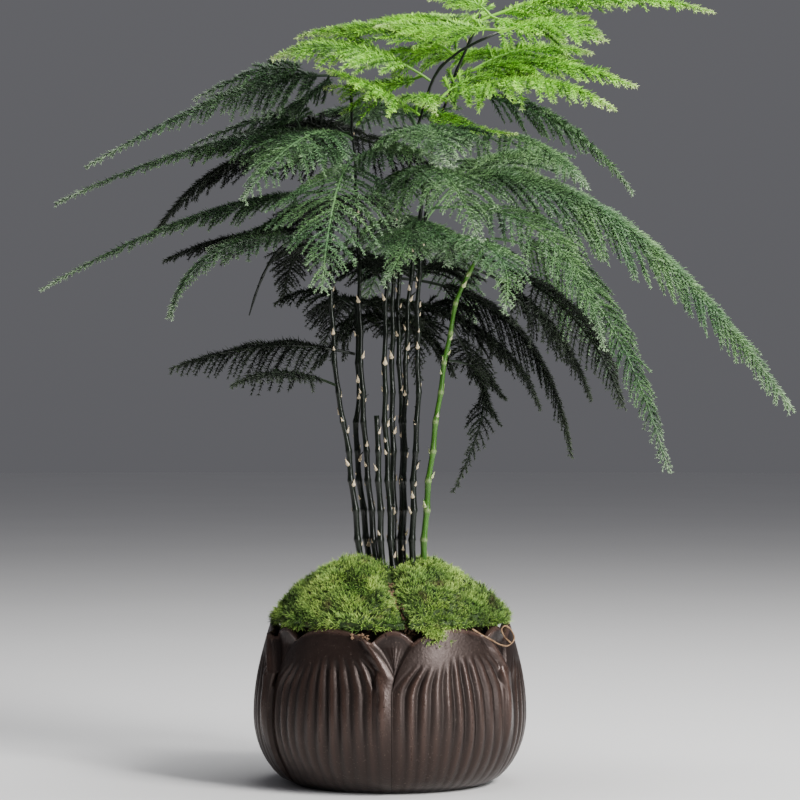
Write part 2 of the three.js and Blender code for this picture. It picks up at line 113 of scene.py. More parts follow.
MOSS_UNDER = [(21.0, 98.2), (36.0, 90.4), (45.8, 81.7), (51.0, 76.4), (55.0, 76.2)]
MOSS_OVER = [
    # radius and height of the top, from the rim to the canes, with the underside's point below
    (56.5, 79.5, 4), (53.5, 85.0, 3), (46.5, 92.5, 2), (36.0, 99.5, 1), (27.0, 104.0, 0), (20.0, 105.5, 0),
]
MOSS_LEAST = 2.5  # least thickness
MOSS_COLUMNS = 90
MOSS_ROWS = 44
MOSS_TUFT_AREA = 2.05  # area of cushion for each tuft
MOSS_PAIRS = 3  # pairs of leaves in a tuft
MOSS_LEAF = 3.3  # a leaf's length
MOSS_LEAF_HALF = 0.24  # half its width at its base
MOSS_LEAN_DEG = (4, 52)  # between a leaf and its tuft's own way
SPILL_PLACE = np.array([20.5, -55.0, 75.5])  # where tufts hang over the rim
SPILL_TUFTS = 90

# The canes
CANE_SINK_Z = 46.0
CANE_R = 1.6
CANE_TIP_R = 0.7
CANE_TAPER = 210.0
JOINT_STEP = 14.0
JOINT_SWELL = 1.22
CANE_SIDES = 8
ZIGZAG = 0.35  # how far a cane leans to either side at its joints
SCALES_TOP_Z = 235.0  # above it the scales are fewer and smaller
SCALE_TURN_DEG = 137  # from one scale to the next
MORE_SCALES = 0.55  # share of the places between two joints that have a scale too
PRONGS = 0.2  # share of the scales that a prong stands over
# A scale's rise, half width, half depth and lean at each of its rings, for its size
SCALE_RINGS = [(-0.7, 0.5, 0.4, 0.0), (0.0, 1.05, 0.8, 0.1), (1.0, 0.5, 0.45, 0.5), (1.9, 0.2, 0.2, 0.9)]
GREEN_CANE = 9
# Each cane's curve above the soil
CANES = {
    1: [(-13, -2, 97), (-20.5, -3, 162), (-25, -3, 187), (-28, -2, 236), (-27, 0, 281)],
    2: [(-9, 6, 97), (-16, 8, 158), (-15, 9.5, 184), (-16, 13, 226)],
    3: [(-6, 1, 97), (-11.5, 3, 158), (-14, 4.5, 205), (-15.5, 8, 270), (-19.5, 8, 336)],
    4: [(-3.5, -6, 97), (-5.5, -6.5, 150), (-6.7, -6.5, 174)],
    5: [(1.5, -6.5, 97), (-1, -4, 148), (-2.4, -3, 181), (-1, 0, 240), (9, -2, 290), (19, -6, 330),
        (32, -12, 345), (51, -18, 354)],
    6: [(2, 4, 97), (1.4, 5, 158), (1, 6, 196), (2.4, 4, 286)],
    7: [(6, 0, 97), (6.7, 2, 148), (7, 5, 181), (10, 8, 240), (19, 8, 296), (27, 8, 325), (43, 6, 366)],
    8: [(10.5, -3.5, 97), (11.5, -4, 148), (13.3, -4, 181), (13.5, -4, 234), (18, -6, 281)],
    9: [(15.5, -3.5, 97), (17.6, -5, 134), (22, -6, 172), (27, -6, 205), (33, -6, 232), (46, -6, 258)],
    10: [(5, 10, 97), (6, 13, 160), (4, 16, 215), (5, 20, 271)],
}

# The sprays
BARE_SHARE = 0.14  # share of the midrib, at the cane, without side sprays
LEAFY_END = 0.99
SIDE_DEG = 56.0  # between a side spray and the midrib
SIDE_CLOSING_DEG = 10.0  # how much this closes towards the tip
SIDE_STEP = 3.3  # between two side sprays on one edge
SIDE_OFFSETS = [0.3, 0.8]  # where they start on each edge, as shares of this step
SIDE_LEAST = 2.5  # least length of a side spray
SIDE_BOW = 0.12
MIDRIB_R = 0.52
MIDRIB_TIP_R = 0.18
TWIG_R = 0.4
TWIG_TIP_R = 0.15
CLUSTER_STEP = 1.1  # between two clusters of needles on a side spray
NEEDLE = 3.2  # a needle's length
NEEDLE_HALF = 0.32  # half its width at its base
# A cluster's pairs of needles: their turn about the side spray and their lean away from it
CLUSTER_DEG = [(0, 50), (95, 36)]

# Each spray's cane, the height where it leaves it, its midrib's middle and tip, the length of its
# longest side spray, how far a side spray's tip hangs for its length, its roll about the midrib in
# degrees and its tone, of which dark is painted shade and bright is partly painted light
SPRAYS = {
    "top_right": (7, 362, (96, 8, 375), (154, 0, 366), 38, 0.2, 16, "bright"),
    "top_back": (7, 352, (20, 32, 368), (-14, 58, 366), 54, 0.15, -8, "bright"),
    "crown_right": (5, 353.3, (76, -25, 357), (99, -36, 348), 42, 0.15, 22, "bright"),
    "crown_far_right": (7, 336, (72, 8, 343), (117, -4, 330), 44, 0.2, 18, "bright"),
    "crown_low_right": (5, 318, (60, -42, 329), (101, -66, 314), 42, 0.3, 14, "bright"),
    "crown_back_left": (5, 344, (-2, 8, 360), (-44, 18, 357), 54, 0.15, -12, "bright"),
    "crown_left": (5, 332, (-16, -20, 346), (-54, -28, 341), 52, 0.15, -22, "bright"),
    "crown_low_left": (5, 316, (-6, -20, 327), (-32, -30, 336), 30, 0.2, -26, "bright"),
    "crown_front": (5, 300, (20, -44, 307), (26, -86, 286), 46, 0.32, 0, "green"),
    "right_hook": (7, 329, (79, -6, 313), (114, -22, 278), 23, 0.3, -30, "green"),
    "left_arm_1": (3, 336, (-72, -4, 327), (-144, -12, 291), 38, 0.3, -28, "green"),
    "left_arm_2": (3, 309, (-84, 14, 304.5), (-162, 20, 276), 38, 0.3, -22, "green"),
    "left_back": (3, 298, (-74, 42, 300), (-117, 58, 264), 46, 0.35, -16, "dark"),
    "left_arm_3": (1, 280, (-90, 2, 270), (-166, -4, 233.5), 40, 0.3, -10, "green"),
    "left_front": (1, 258, (-78, -34, 251), (-101, -52, 219), 24, 0.3, -10, "green"),
    "left_low_back": (1, 262, (-73, 36, 262), (-112, 54, 250), 32, 0.3, -16, "dark"),
    "left_inner_back": (1, 254, (-45, 50, 254), (-54, 80, 232), 30, 0.28, 0, "dark"),
    "bare_twig": (1, 250, (-50, -14, 254), (-66, -20, 221), 0, 0, 0, "dark"),
    "back_left": (2, 222, (-22, 42, 230), (-34, 78, 208), 36, 0.5, 0, "dark"),
    "low_left": (2, 203, (-59, -4, 206.5), (-104, -10, 196), 38, 0.55, -26, "dark"),
    "low_left_front": (1, 188, (-50, -38, 194), (-72, -56, 188), 18, 0.3, -10, "dark"),
    "front_face": (3, 297, (-25, -55, 274), (-30, -95, 229), 52, 0.28, 0, "green"),
    "front_right_face": (5, 290, (26, -50, 284), (40, -85, 253), 46, 0.4, 0, "green"),
    "front_low": (5, 262, (8, -45, 256), (-3, -78, 233), 28, 0.28, 0, "green"),
    "front_right_low": (8, 260, (48, -55, 249.5), (51, -87, 220), 29, 0.28, 0, "green"),
    "right_bright": (8, 272, (72, -36, 258), (98, -55, 204), 30, 0.3, 25, "green"),
    "right_arm": (8, 281, (101, 2, 272), (192, -5, 175), 37, 0.75, 24, "green"),
    "right_fall": (9, 258, (96, -10, 229), (131, -18, 147), 34, 0.5, 50, "green"),
    "right_strand_1": (9, 250, (84, -44, 220), (106, -62, 178), 28, 0.6, 20, "dark"),
    "right_strand_2": (9, 244, (75, 16, 221), (98, 30, 181), 34, 0.6, 20, "dark"),
    "right_dark_1": (10, 240, (61, 34, 216), (89, 40, 153), 32, 0.5, 35, "dark"),
    "right_dark_2": (10, 230, (49, 52, 213), (75, 72, 177), 31, 0.5, 20, "dark"),
    "hanging": (9, 200, (45, 8, 184), (30, 8, 137), 22, 0.3, 50, "dark"),
    "right_dark_3": (9, 218, (41, 34, 199), (57, 48, 182), 22, 0.4, 10, "dark"),
    "back_grey": (8, 266, (59, 56, 304), (99, 87, 290), 53, 0.3, 0, "green"),
    "back_1": (10, 270, (2, 75, 265), (-13, 115, 233), 52, 0.35, 0, "green"),
    "back_2": (10, 258, (27, 72, 257), (41, 108, 220), 48, 0.35, 0, "green"),
    "back_3": (6, 276, (-30, 64, 279), (-46, 100, 258), 48, 0.35, 0, "dark"),
    "back_low": (10, 206, (10, 51, 221), (14, 82, 190), 28, 0.5, 0, "dark"),
    "back_left_high": (3, 305, (-41, 54, 318), (-66, 95, 300), 46, 0.3, 0, "dark"),
    "back_top": (7, 338, (44, 54, 354), (68, 95, 346), 48, 0.2, 0, "bright"),
    "mid_left_face": (3, 306, (-41, -30, 303), (-67, -62, 272), 46, 0.4, -8, "green"),
    "mid_right_face": (7, 306, (60, -25, 304), (90, -51, 279), 40, 0.4, 8, "green"),
    "back_crown": (5, 308, (0, 50, 327), (-28, 90, 316), 56, 0.24, 0, "green"),
}

# Some sprays' habit: factors on their side sprays' length and droop, how fast these shorten
# towards the tip, the distance between two, and a factor on the needles' length
HABITS = {
    "right_arm": (1.2, 0.62, 0.75, 2.5, 1.0),
    "left_arm_1": (0.9, 1.0, 1.8, 2.6, 0.95),
    "left_arm_2": (0.9, 1.0, 2.0, 2.6, 0.95),
    "left_arm_3": (0.9, 1.0, 1.9, 2.6, 0.95),
    "left_front": (0.9, 1.0, 1.5, 2.8, 0.95),
    "right_fall": (0.95, 1.0, 1.1, 2.9, 0.95),
    "front_face": (1.0, 1.0, 1.0, 5.0, 0.7),
}
PLAIN_HABIT = (1.0, 1.0, 1.15, SIDE_STEP, 1.0)
# Sprays whose side sprays stand further apart: that distance, and the needles' factor
OPEN_SPRAYS = {
    "mid_left_face": (4.6, 0.75), "front_right_face": (4.4, 0.75), "front_low": (4.0, 0.75),
    "front_right_low": (4.2, 0.75), "mid_right_face": (4.4, 0.8), "right_bright": (3.8, 0.85),
    "back_1": (4.2, 1.0), "back_2": (4.2, 1.0), "back_3": (4.2, 1.0), "back_top": (4.2, 1.0),
    "back_crown": (4.0, 1.0),
}

# Painted light and shade of some sprays: how much paler than its tone a spray is as painted light, or
# darker below zero as painted shade
PAINTED_LIGHT_AND_SHADE = {
    "back_grey": 0.47, "right_arm": 0.22, "mid_right_face": 0.2, "front_face": 0.12,
    "front_right_low": 0.12, "right_bright": 0.1, "right_fall": -0.08, "left_low_back": -0.2,
    "crown_back_left": -0.25, "crown_left": -0.3, "low_left": -0.3, "left_arm_1": -0.5,
    "left_arm_2": -0.5, "left_arm_3": -0.7, "left_front": -0.7,
}

# More shoots of a spray: where on its midrib each leaves, the shoot's own midrib's middle and tip,
# the length of its longest side spray, its droop and its roll
SHOOTS = {
    "top_right": [(0.05, (38, 14, 373), (20, 22, 375), 20, 0.2, -20),
                  (0.05, (68, 18, 369), (92, 24, 364), 24, 0.2, 20),
                  (0.05, (60, 2, 360), (84, 4, 353), 28, 0.2, 20)],
    "crown_right": [(0.05, (26, -8, 358), (-6, -4, 359), 38, 0.15, -20)],
    "top_back": [(0.1, (18, 24, 352), (-14, 34, 350), 40, 0.2, -25)],
    "crown_far_right": [(0.1, (68, 28, 352), (98, 36, 351), 36, 0.15, 20)],
    "crown_low_right": [(0.05, (44, 2, 336), (74, 6, 334), 34, 0.2, 24),
                        (0.05, (32, -22, 311), (58, -34, 305), 18, 0.2, 20)],
    "front_face": [(0.1, (-36, -22, 299), (-62, -38, 289), 30, 0.3, -20),
                   (0.1, (0, -22, 299), (24, -36, 292), 30, 0.3, 20)],
    "back_left_high": [(0.1, (-34, 10, 300), (-62, 18, 290), 34, 0.35, -30),
                       (0.1, (0, 14, 302), (26, 20, 293), 34, 0.4, 30)],
    "back_left": [(0.1, (-24, 24, 214), (-38, 34, 197), 28, 0.5, -20),
                  (0.05, (2, 24, 229), (26, 28, 222), 30, 0.35, 20),
                  (0.05, (-36, 22, 234), (-56, 26, 228), 26, 0.35, -20)],
    "back_low": [(0.1, (20, 26, 211), (31, 34, 193), 28, 0.5, 20),
                 (0.1, (-10, 28, 222), (-28, 32, 216), 28, 0.35, -20),
                 (0.1, (24, 28, 228), (44, 30, 222), 28, 0.35, 20)],
    "left_arm_1": [(0.2, (-58, 4, 339), (-94, 6, 325), 24, 0.25, -35),
                   (0.1, (-36, 12, 330), (-58, 18, 318), 32, 0.3, -25)],
    "left_arm_2": [(0.2, (-56, 20, 318), (-96, 26, 305), 24, 0.25, -35)],
    "left_inner_back": [(0.05, (-8, 12, 250), (14, 16, 243), 28, 0.35, 20)],
    "right_dark_1": [(0.05, (22, 30, 247), (46, 34, 240), 30, 0.35, 20),
                     (0.05, (-12, 32, 248), (-36, 36, 241), 30, 0.35, -20)],
    "left_back": [(0.05, (-42, 26, 316), (-72, 32, 306), 32, 0.3, -25),
                  (0.35, (-72, 44, 312), (-98, 50, 298), 26, 0.3, -25)],
    "crown_left": [(0.05, (-2, 4, 332), (-30, 12, 332), 40, 0.2, -24)],
    "crown_low_left": [(0.05, (15, -22, 324), (20, -44, 314), 22, 0.3, 0)],
    "front_right_face": [(0.1, (7, -27, 284), (4, -50, 261), 28, 0.3, 0)],
    "front_low": [(0.1, (20, -26, 262), (27, -46, 243), 26, 0.3, 0)],
    "left_arm_3": [(0.15, (-54, 6, 268), (-88, 8, 254), 24, 0.35, -25)],
}

# The photograph's view
MM_PER_PX = 0.476  # at the bowl's axis
FRAME_PX = 800
AXIS_PX = 390  # column of the bowl's axis
FOOT_PX = 781  # row of the bowl's foot
CAMERA_AWAY = 1400.0
SENSOR = 36.0

# The loose root that loops out over the rim
ROOT_LOOP = [(38, -47, 76), (42, -45, 73.5), (47, -41, 70.5), (51, -36, 68), (55, -31, 67),
             (58, -26.5, 69.5), (57, -26, 73.5), (54, -28, 76), (52, -31, 74.5), (53.5, -31, 71),
             (56.5, -28, 68)]

# The canes' two streaks and their scales
CANE_TONES = {
    "cane_dark": ((0.002, 0.0035, 0.002), (0.007, 0.012, 0.006), (0.78, 0.64, 0.43)),
    "cane_green": ((0.024, 0.085, 0.007), (0.052, 0.16, 0.013), (0.55, 0.62, 0.3)),
}
# The sprays' tones from a needle's base to its tip, deep as painted shade and light as painted highlight,
# that of their youngest ends, and gloss
FROND_TONES = {
    # The bright tone is the crown's yellow-green, partly its own colour and partly painted light for the
    # light shining through its needles
    "bright": ((0.05, 0.17, 0.01), (0.21, 0.54, 0.03), (0.42, 0.85, 0.08), (0.68, 0.82, 0.34), 0.35),
    "green": ((0.015, 0.041, 0.015), (0.06, 0.142, 0.048), (0.17, 0.315, 0.135), (0.33, 0.44, 0.28), 0.35),
    # The dark tone is painted shade: the low and back sprays that lie in the plant's shade get a near black
    # green
    "dark": ((0.003, 0.005, 0.003), (0.009, 0.0155, 0.0078), (0.021, 0.035, 0.018), (0.062, 0.08, 0.052),
             0.2),
}

# The studio
FLOOR_COLOUR = 0.76
FLOOR_R = 6000.0
HORIZON = (0.12, 0.12, 0.13)  # light from the horizon
ZENITH = 1.4  # light from above, for that from the horizon
# Each lamp's place, aim, width and height in metres, its power and its colour
LAMPS = {
    "key": ((1.0, -0.8, 1.1), (0, 0, 0.15), (0.5, 0.5), 37, (1.0, 0.98, 0.95)),
    "top": ((0.1, 0.1, 1.3), (0, 0, 0.2), (0.7, 0.7), 15, (1.0, 1.0, 1.0)),
    "strip": ((0.85, -0.95, 0.46), (0, 0, 0.08), (0.16, 0.6), 13, (1.0, 1.0, 1.0)),
}
SEED = 7


def smooth(x):
    x = np.clip(x, 0, 1)
    return x * x * (3 - 2 * x)


def unit(v):
    return v / np.maximum(np.linalg.norm(v, axis=-1, keepdims=True), 1e-9)


def swing(first, second, turn):
    """The way that lies turn away from the first way, towards the second."""
    return first * np.cos(turn) + second * np.sin(turn)


def varied(share, spread, rng):
    """Shares from 0 to 1, each moved at random."""
    return np.clip(share + rng.normal(0, spread, share.size), 0, 1)


def around(r, degrees, z):
    turn = np.radians(degrees)
    return np.stack(np.broadcast_arrays(r * np.cos(turn), r * np.sin(turn), z), axis=-1)


def catmull_rom(points, t):
    """A Catmull-Rom spline through points, at t from 0 to 1, whose ends run on straight."""
    p = np.asarray(points, float)
    p_all = np.concatenate([[2 * p[0] - p[1]], p, [2 * p[-1] - p[-2]]])
    place = np.clip(t, 0, 1) * (len(p) - 1)
    i = np.minimum(place.astype(int), len(p) - 2)
    u = (place - i).reshape(-1, *[1] * (p.ndim - 1))
    weights = [
        (-u + 2 * u**2 - u**3) / 2,
        (2 - 5 * u**2 + 3 * u**3) / 2,
        (u + 4 * u**2 - 3 * u**3) / 2,
        (-(u**2) + u**3) / 2,
    ]
    return sum(weight * p_all[i + k] for k, weight in enumerate(weights))


def new_object(name, data):
    made = bpy.data.objects.new(name, data)
    bpy.context.scene.collection.objects.link(made)
    return made


# Meshes
class Parts:
    """Closed shapes that become one mesh, with a value of each attribute at each point."""

    def __init__(self, *attributes):
        self.points, self.faces, self.count = [], [], 0
        self.values = {name: [] for name in attributes}

    def add(self, points, faces, **values):
        points = points.reshape(-1, 3)
        self.points.append(points)
        self.faces.append(faces + self.count)
        self.count += len(points)
        for name, rows in self.values.items():
            rows.append(np.broadcast_to(values.get(name, 0.0), len(points)))

    def piece(self, name, material, replaces=(), flat=False):
        mesh = bpy.data.meshes.new(name)
        points, faces = np.concatenate(self.points) * MM, np.concatenate(self.faces)
        mesh.from_pydata(points.tolist(), [], faces.tolist())
        mesh.polygons.foreach_set("use_smooth", np.full(len(faces), not flat))
        for attribute, rows in self.values.items():
            layer = mesh.attributes.new(attribute, "FLOAT", "POINT")
            layer.data.foreach_set("value", np.concatenate(rows).astype(np.float32))
        mesh.materials.append(material)
        made = new_object(name, mesh)
        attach(made, "root")
        if replaces:
            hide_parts(*replaces)
        return made


def ring_faces(rings, n):
    """Triangles of a closed skin over rings of n points each, with one more point at each end."""
    j = np.arange(n)
    k = (j + 1) % n
    base = (np.arange(rings - 1) * n)[:, None]
    low = np.stack([base + j, base + k, base + n + k], axis=-1).reshape(-1, 3)
    high = np.stack([base + j, base + n + k, base + n + j], axis=-1).reshape(-1, 3)
    first, last = n * rings, n * (rings - 1)
    foot = np.stack([np.full(n, first), k, j], axis=-1)
    head = np.stack([np.full(n, first + 1), last + j, last + k], axis=-1)
    return np.concatenate([low, high, foot, head])


def skin(rings, low, high):
    """A closed skin over an array of rings (rings, points, 3)."""
    count, n, _ = rings.shape
    return np.concatenate([rings.reshape(-1, 3), [low], [high]]), ring_faces(count, n)


def every_copy(faces, points):
    """The faces of one shape, for each shape in an array of points (shapes, points, 3)."""
    first = np.arange(len(points)) * points.shape[1]
    return (faces + first[:, None, None]).reshape(-1, 3)


def tubes(paths, radii, sides, normals):
    """Closed tubes along paths (tubes, places, 3), with radii (tubes, places)."""
    count, places, _ = paths.shape
    along = unit(np.gradient(paths, axis=1))
    across = unit(np.cross(normals[:, None, :], along))
    out = np.cross(along, across)
    turn = np.arange(sides)[:, None] * 2 * np.pi / sides
    rings = paths[:, :, None] + swing(across[:, :, None], out[:, :, None], turn) * radii[:, :, None, None]
    points = np.concatenate([rings.reshape(count, -1, 3), paths[:, :1], paths[:, -1:]], axis=1)
    return points, every_copy(ring_faces(places, sides), points)


def needle_pairs(base, forward, out, first, second, half):
    """Closed forks of two needles that part from one base to both sides of the way forward."""
    above = np.cross(forward, out) * half
    points = np.stack([
        base + forward * (1.2 * half),
        base - forward * (0.6 * half) + above,
        base - forward * (0.6 * half) - above,
        base + first,
        base + second,
    ], axis=1)
    faces = np.array([[3, 1, 0], [3, 0, 2], [3, 2, 1], [4, 0, 1], [4, 2, 0], [4, 1, 2]])
    return points, every_copy(faces, points)


def leaning_pairs(base, forward, out, draw_leans, length, half, rng):
    """Forks of needles of about this length, whose leans in degrees come from draw_leans."""
    ways = []
    for hand in (1, -1):
        lean = np.radians(draw_leans())[:, None]
        own = length * rng.uniform(0.7, 1.2, len(base))
        ways.append(swing(forward, hand * out, lean) * own[:, None])
    return needle_pairs(base, forward, out, *ways, half)


# Materials
class Nodes:
    """Short calls for the nodes that feed one node of a tree."""

    def __init__(self, owner, fed):
        owner.use_nodes = True
        self.tree = owner.node_tree
        self.fed = self.tree.nodes[fed].inputs

    def feed(self, socket, value):
        """Links an input to a socket, or sets it to a number or a colour."""
        if isinstance(value, bpy.types.NodeSocket):
            self.tree.links.new(value, socket)
        else:
            socket.default_value = (*value, 1) if socket.type == "RGBA" else value

    def node(self, kind, **inputs):
        made = self.tree.nodes.new("ShaderNode" + kind)
        for name, value in inputs.items():
            self.feed(made.inputs[name], value)
        return made

    def ramp(self, value, *stops):
        """A colour or grey for each stop's place along value."""
        made = self.node("ValToRGB", Fac=value)
        elements = made.color_ramp.elements
        while len(elements) < len(stops):
            elements.new(0.5)
        for element, (place, colour) in zip(elements, stops):
            element.position = place
            element.color = (*colour, 1) if isinstance(colour, tuple) else (colour, colour, colour, 1)
        return made.outputs["Color"]


class Finish(Nodes):
    """A material on one Principled shader."""

    def __init__(self, name, roughness, specular=0.5, gleam=(1, 1, 1)):
        self.material = bpy.data.materials.new(name)
        super().__init__(self.material, "Principled BSDF")
        self.rough(roughness)
        self.feed(self.fed["Specular IOR Level"], specular)
        self.feed(self.fed["Specular Tint"], gleam)
        self.place = self.node("TexCoord").outputs["Object"]

    def attribute(self, name):
        made = self.node("Attribute")
        made.attribute_name = name
        return made.outputs["Fac"]

    def noise(self, size, detail=4.0, stretch=None):
        """Noise whose grains are about size millimetres wide, stretched along Z if asked."""
        place = self.place
        if stretch:
            place = self.node("Mapping", Vector=place, Scale=(1, 1, 1 / stretch)).outputs["Vector"]
        return self.node("TexNoise", Vector=place, Scale=1 / (size * MM), Detail=detail).outputs["Fac"]

    def mix(self, share, first, second, how="MIX"):
        made = self.node("Mix")
        made.data_type = "RGBA"
        made.blend_type = how
        made.clamp_factor = True
        sockets = {socket.identifier: socket for socket in (*made.inputs, *made.outputs)}
        self.feed(sockets["Factor_Float"], share)
        self.feed(sockets["A_Color"], first)
        self.feed(sockets["B_Color"], second)
        return sockets["Result_Color"]

    def multiply(self, first, second):
        return self.mix(1.0, first, second, "MULTIPLY")

    def add(self, first, second):
        made = self.node("Math")
        made.operation = "ADD"
        self.feed(made.inputs[0], first)
        self.feed(made.inputs[1], second)
        return made.outputs["Value"]

    def colour(self, value):
        self.feed(self.fed["Base Color"], value)

    def rough(self, value):
        self.feed(self.fed["Roughness"], value)

    def bump(self, height, depth):
        """Relief of depth millimetres."""
        made = self.node("Bump", Height=height, Distance=depth * MM, Strength=1.0)
        self.feed(self.fed["Normal"], made.outputs["Normal"])


def clay_finish():
    """Burnished dark brown stoneware with fine grog, pits and clouds, paler on its crests, rolled edges and
    rim as painted highlight, and near black in its grooves as painted shade.
    """
    made = Finish("clay", 0.4, 0.42, gleam=(1.0, 0.82, 0.77))
    clouds = made.ramp(made.noise(26, 5), (0.3, (0.0165, 0.0099, 0.0077)), (0.7, (0.033, 0.0205, 0.0165)))
    # Painted light and shade: the crest attribute darkens grooves and the recessed rear petals and pales
    # the crests, the rolled edges and the rim
    crest = made.ramp(made.attribute("crest"), (0.0, (0.04, 0.035, 0.035)), (0.45, (0.52, 0.5, 0.5)),
                      (0.75, (1.15, 1.1, 1.08)), (1.0, (2.0, 1.95, 1.95)))
    body = made.multiply(clouds, crest)
    grog = made.ramp(made.noise(0.9, 2), (0.64, 0.0), (0.74, 0.5))
    body = made.mix(grog, body, (0.1, 0.075, 0.062))
    pits = made.ramp(made.noise(1.7, 1), (0.24, 0.9), (0.3, 0.0))
    made.colour(made.mix(pits, body, (0.006, 0.004, 0.003)))
    burnish = made.ramp(made.attribute("crest"), (0.3, 0.4), (0.8, 0.2))
    made.rough(made.add(burnish, made.ramp(made.noise(7, 4), (0.3, 0.0), (0.7, 0.1))))
    made.bump(made.add(made.noise(1.1, 3), made.noise(4.5, 2)), 0.12)
    return made.material


def soil_finish():
    """Moist potting soil: dark crumbs with a few pale fibres and bits of bark."""
    made = Finish("soil", 0.95, 0.2)
    crumbs = made.ramp(made.noise(2.2, 6), (0.3, (0.008, 0.005, 0.003)), (0.55, (0.03, 0.018, 0.01)),
                       (0.75, (0.085, 0.05, 0.028)))
    made.colour(made.mix(made.attribute("bark"), crumbs, (0.32, 0.2, 0.125)))
    made.bump(made.noise(1.4, 6), 0.8)
    return made.material


@cache
def moss_finish():
    """Living moss: nearly black between the tufts and at the leaf bases, partly its own dark lower stems
    and partly painted shade, fresh green at the leaf tips, brown where old.
    """
    made = Finish("moss", 0.6, 0.3)
    leaf = made.ramp(made.attribute("tip"), (0.0, (0.011, 0.018, 0.006)), (0.4, (0.11, 0.23, 0.034)),
                     (1.0, (0.66, 0.98, 0.25)))
    patch = made.ramp(made.noise(13, 3), (0.35, (0.6, 0.7, 0.62)), (0.65, (1.15, 1.1, 1.0)))
    tint = made.ramp(made.attribute("tint"), (0.0, (0.1, 0.12, 0.095)), (0.5, (0.92, 0.93, 0.93)),
                     (1.0, (1.8, 1.55, 1.5)))
    leaf = made.multiply(made.multiply(leaf, patch), tint)
    old = made.ramp(made.noise(10, 3), (0.61, 0.0), (0.71, 0.7))
    made.colour(made.mix(old, leaf, (0.085, 0.062, 0.026)))
    return made.material


@cache
def cane_finish(name):
    """A smooth cane, streaked along its length, with pale papery scales at its joints."""
    low, high, scale = CANE_TONES[name]
    made = Finish(name, 0.42, 0.35)
    streaks = made.ramp(made.noise(1.6, 4, stretch=9), (0.3, low), (0.7, high))
    papery = made.ramp(made.noise(0.8, 3), (0.3, tuple(0.6 * c for c in scale)), (0.7, scale))
    made.colour(made.mix(made.attribute("pale"), streaks, papery))
    made.rough(made.ramp(made.attribute("pale"), (0.0, 0.28), (1.0, 0.8)))
    made.bump(made.noise(0.7, 3, stretch=5), 0.1)
    return made.material


@cache
def frond_finish(tone):
    """Needles from deep at their bases to light at their tips, as painted shade among the clusters and
    painted highlight at the tips, pale where a spray is youngest.
    """
    deep, mid, light, pale, gloss = FROND_TONES[tone]
    made = Finish("frond_" + tone, 0.5, gloss)
    needle = made.ramp(made.attribute("tip"), (0.0, deep), (0.5, mid), (1.0, light))
    tint = made.ramp(made.attribute("tint"), (0.0, (0.16, 0.2, 0.175)), (0.5, (0.9, 0.92, 0.9)),
                     (1.0, (1.9, 1.7, 1.8)))
    patch = made.ramp(made.noise(24, 2), (0.35, (0.75, 0.8, 0.85)), (0.65, (1.15, 1.1, 1.0)))
    needle = made.multiply(made.multiply(needle, tint), patch)
    made.colour(made.mix(made.attribute("young"), needle, pale))
    return made.material


# The bowl
def bowl_radius(z):
    """The outline without its petals: a rounded haunch, then a curve in to the mouth."""
    haunch = np.sqrt(np.maximum(0, 1 - (1 - np.minimum(z, BELLY_Z) / BELLY_Z) ** 2)) ** 1.25
    quarter = (z - BELLY_Z) / (TIP_Z - BELLY_Z) * np.pi / 2
    low = FOOT_R + (BELLY_R - FOOT_R) * haunch
    high = MOUTH_R + (BELLY_R - MOUTH_R) * np.cos(quarter)
    return np.where(z <= BELLY_Z, low, high)


def petal_shares(z):
    """The shares of its half sectors that a front petal fills, left and right, at height z."""
    rise = np.clip((z - SHOULDER_Z) / OUTLINE_RISE, 0, 1)
    narrowed = (1 - rise ** (1 / 0.6)) ** (1 / 1.8)
    left = LEFT_SHARE * narrowed
    return left, np.minimum(RIGHT_SHARE * narrowed, 2 - left - PETAL_GAP)


def drawn_in(z):
    """How far the ribs draw together towards a petal's tip, as a share of its width."""
    return 0.7 + 0.3 * smooth((66 - z) / 20)


def on_front(place, narrow):
    """Places across a front petal, for mesh columns that follow the ribs but for the outermost."""
    size = np.abs(place)
    edge = 1 - (1 - np.clip((size - RIBBED_SHARE) / (1 - RIBBED_SHARE), 0, 1)) ** 1.5
    return np.sign(place) * (np.minimum(size, RIBBED_SHARE) * narrow + (1 - RIBBED_SHARE * narrow) * edge)


def bowl_columns():
    """Each column's petal middle, its place on a front or rear petal, and whether it is a front one."""
    front = np.linspace(-1, 1, RIBS * RIB_COLUMNS + 1)
    rear = (np.arange(REAR_COLUMNS) + 0.5) / REAR_COLUMNS
    place = np.concatenate([front, rear])
    is_front = np.arange(len(place)) < len(front)
    middle = FIRST_PETAL_DEG + 2 * PETAL_HALF_DEG * np.arange(PETALS)
    return np.repeat(middle, len(place)), np.tile(place, PETALS), np.tile(is_front, PETALS)


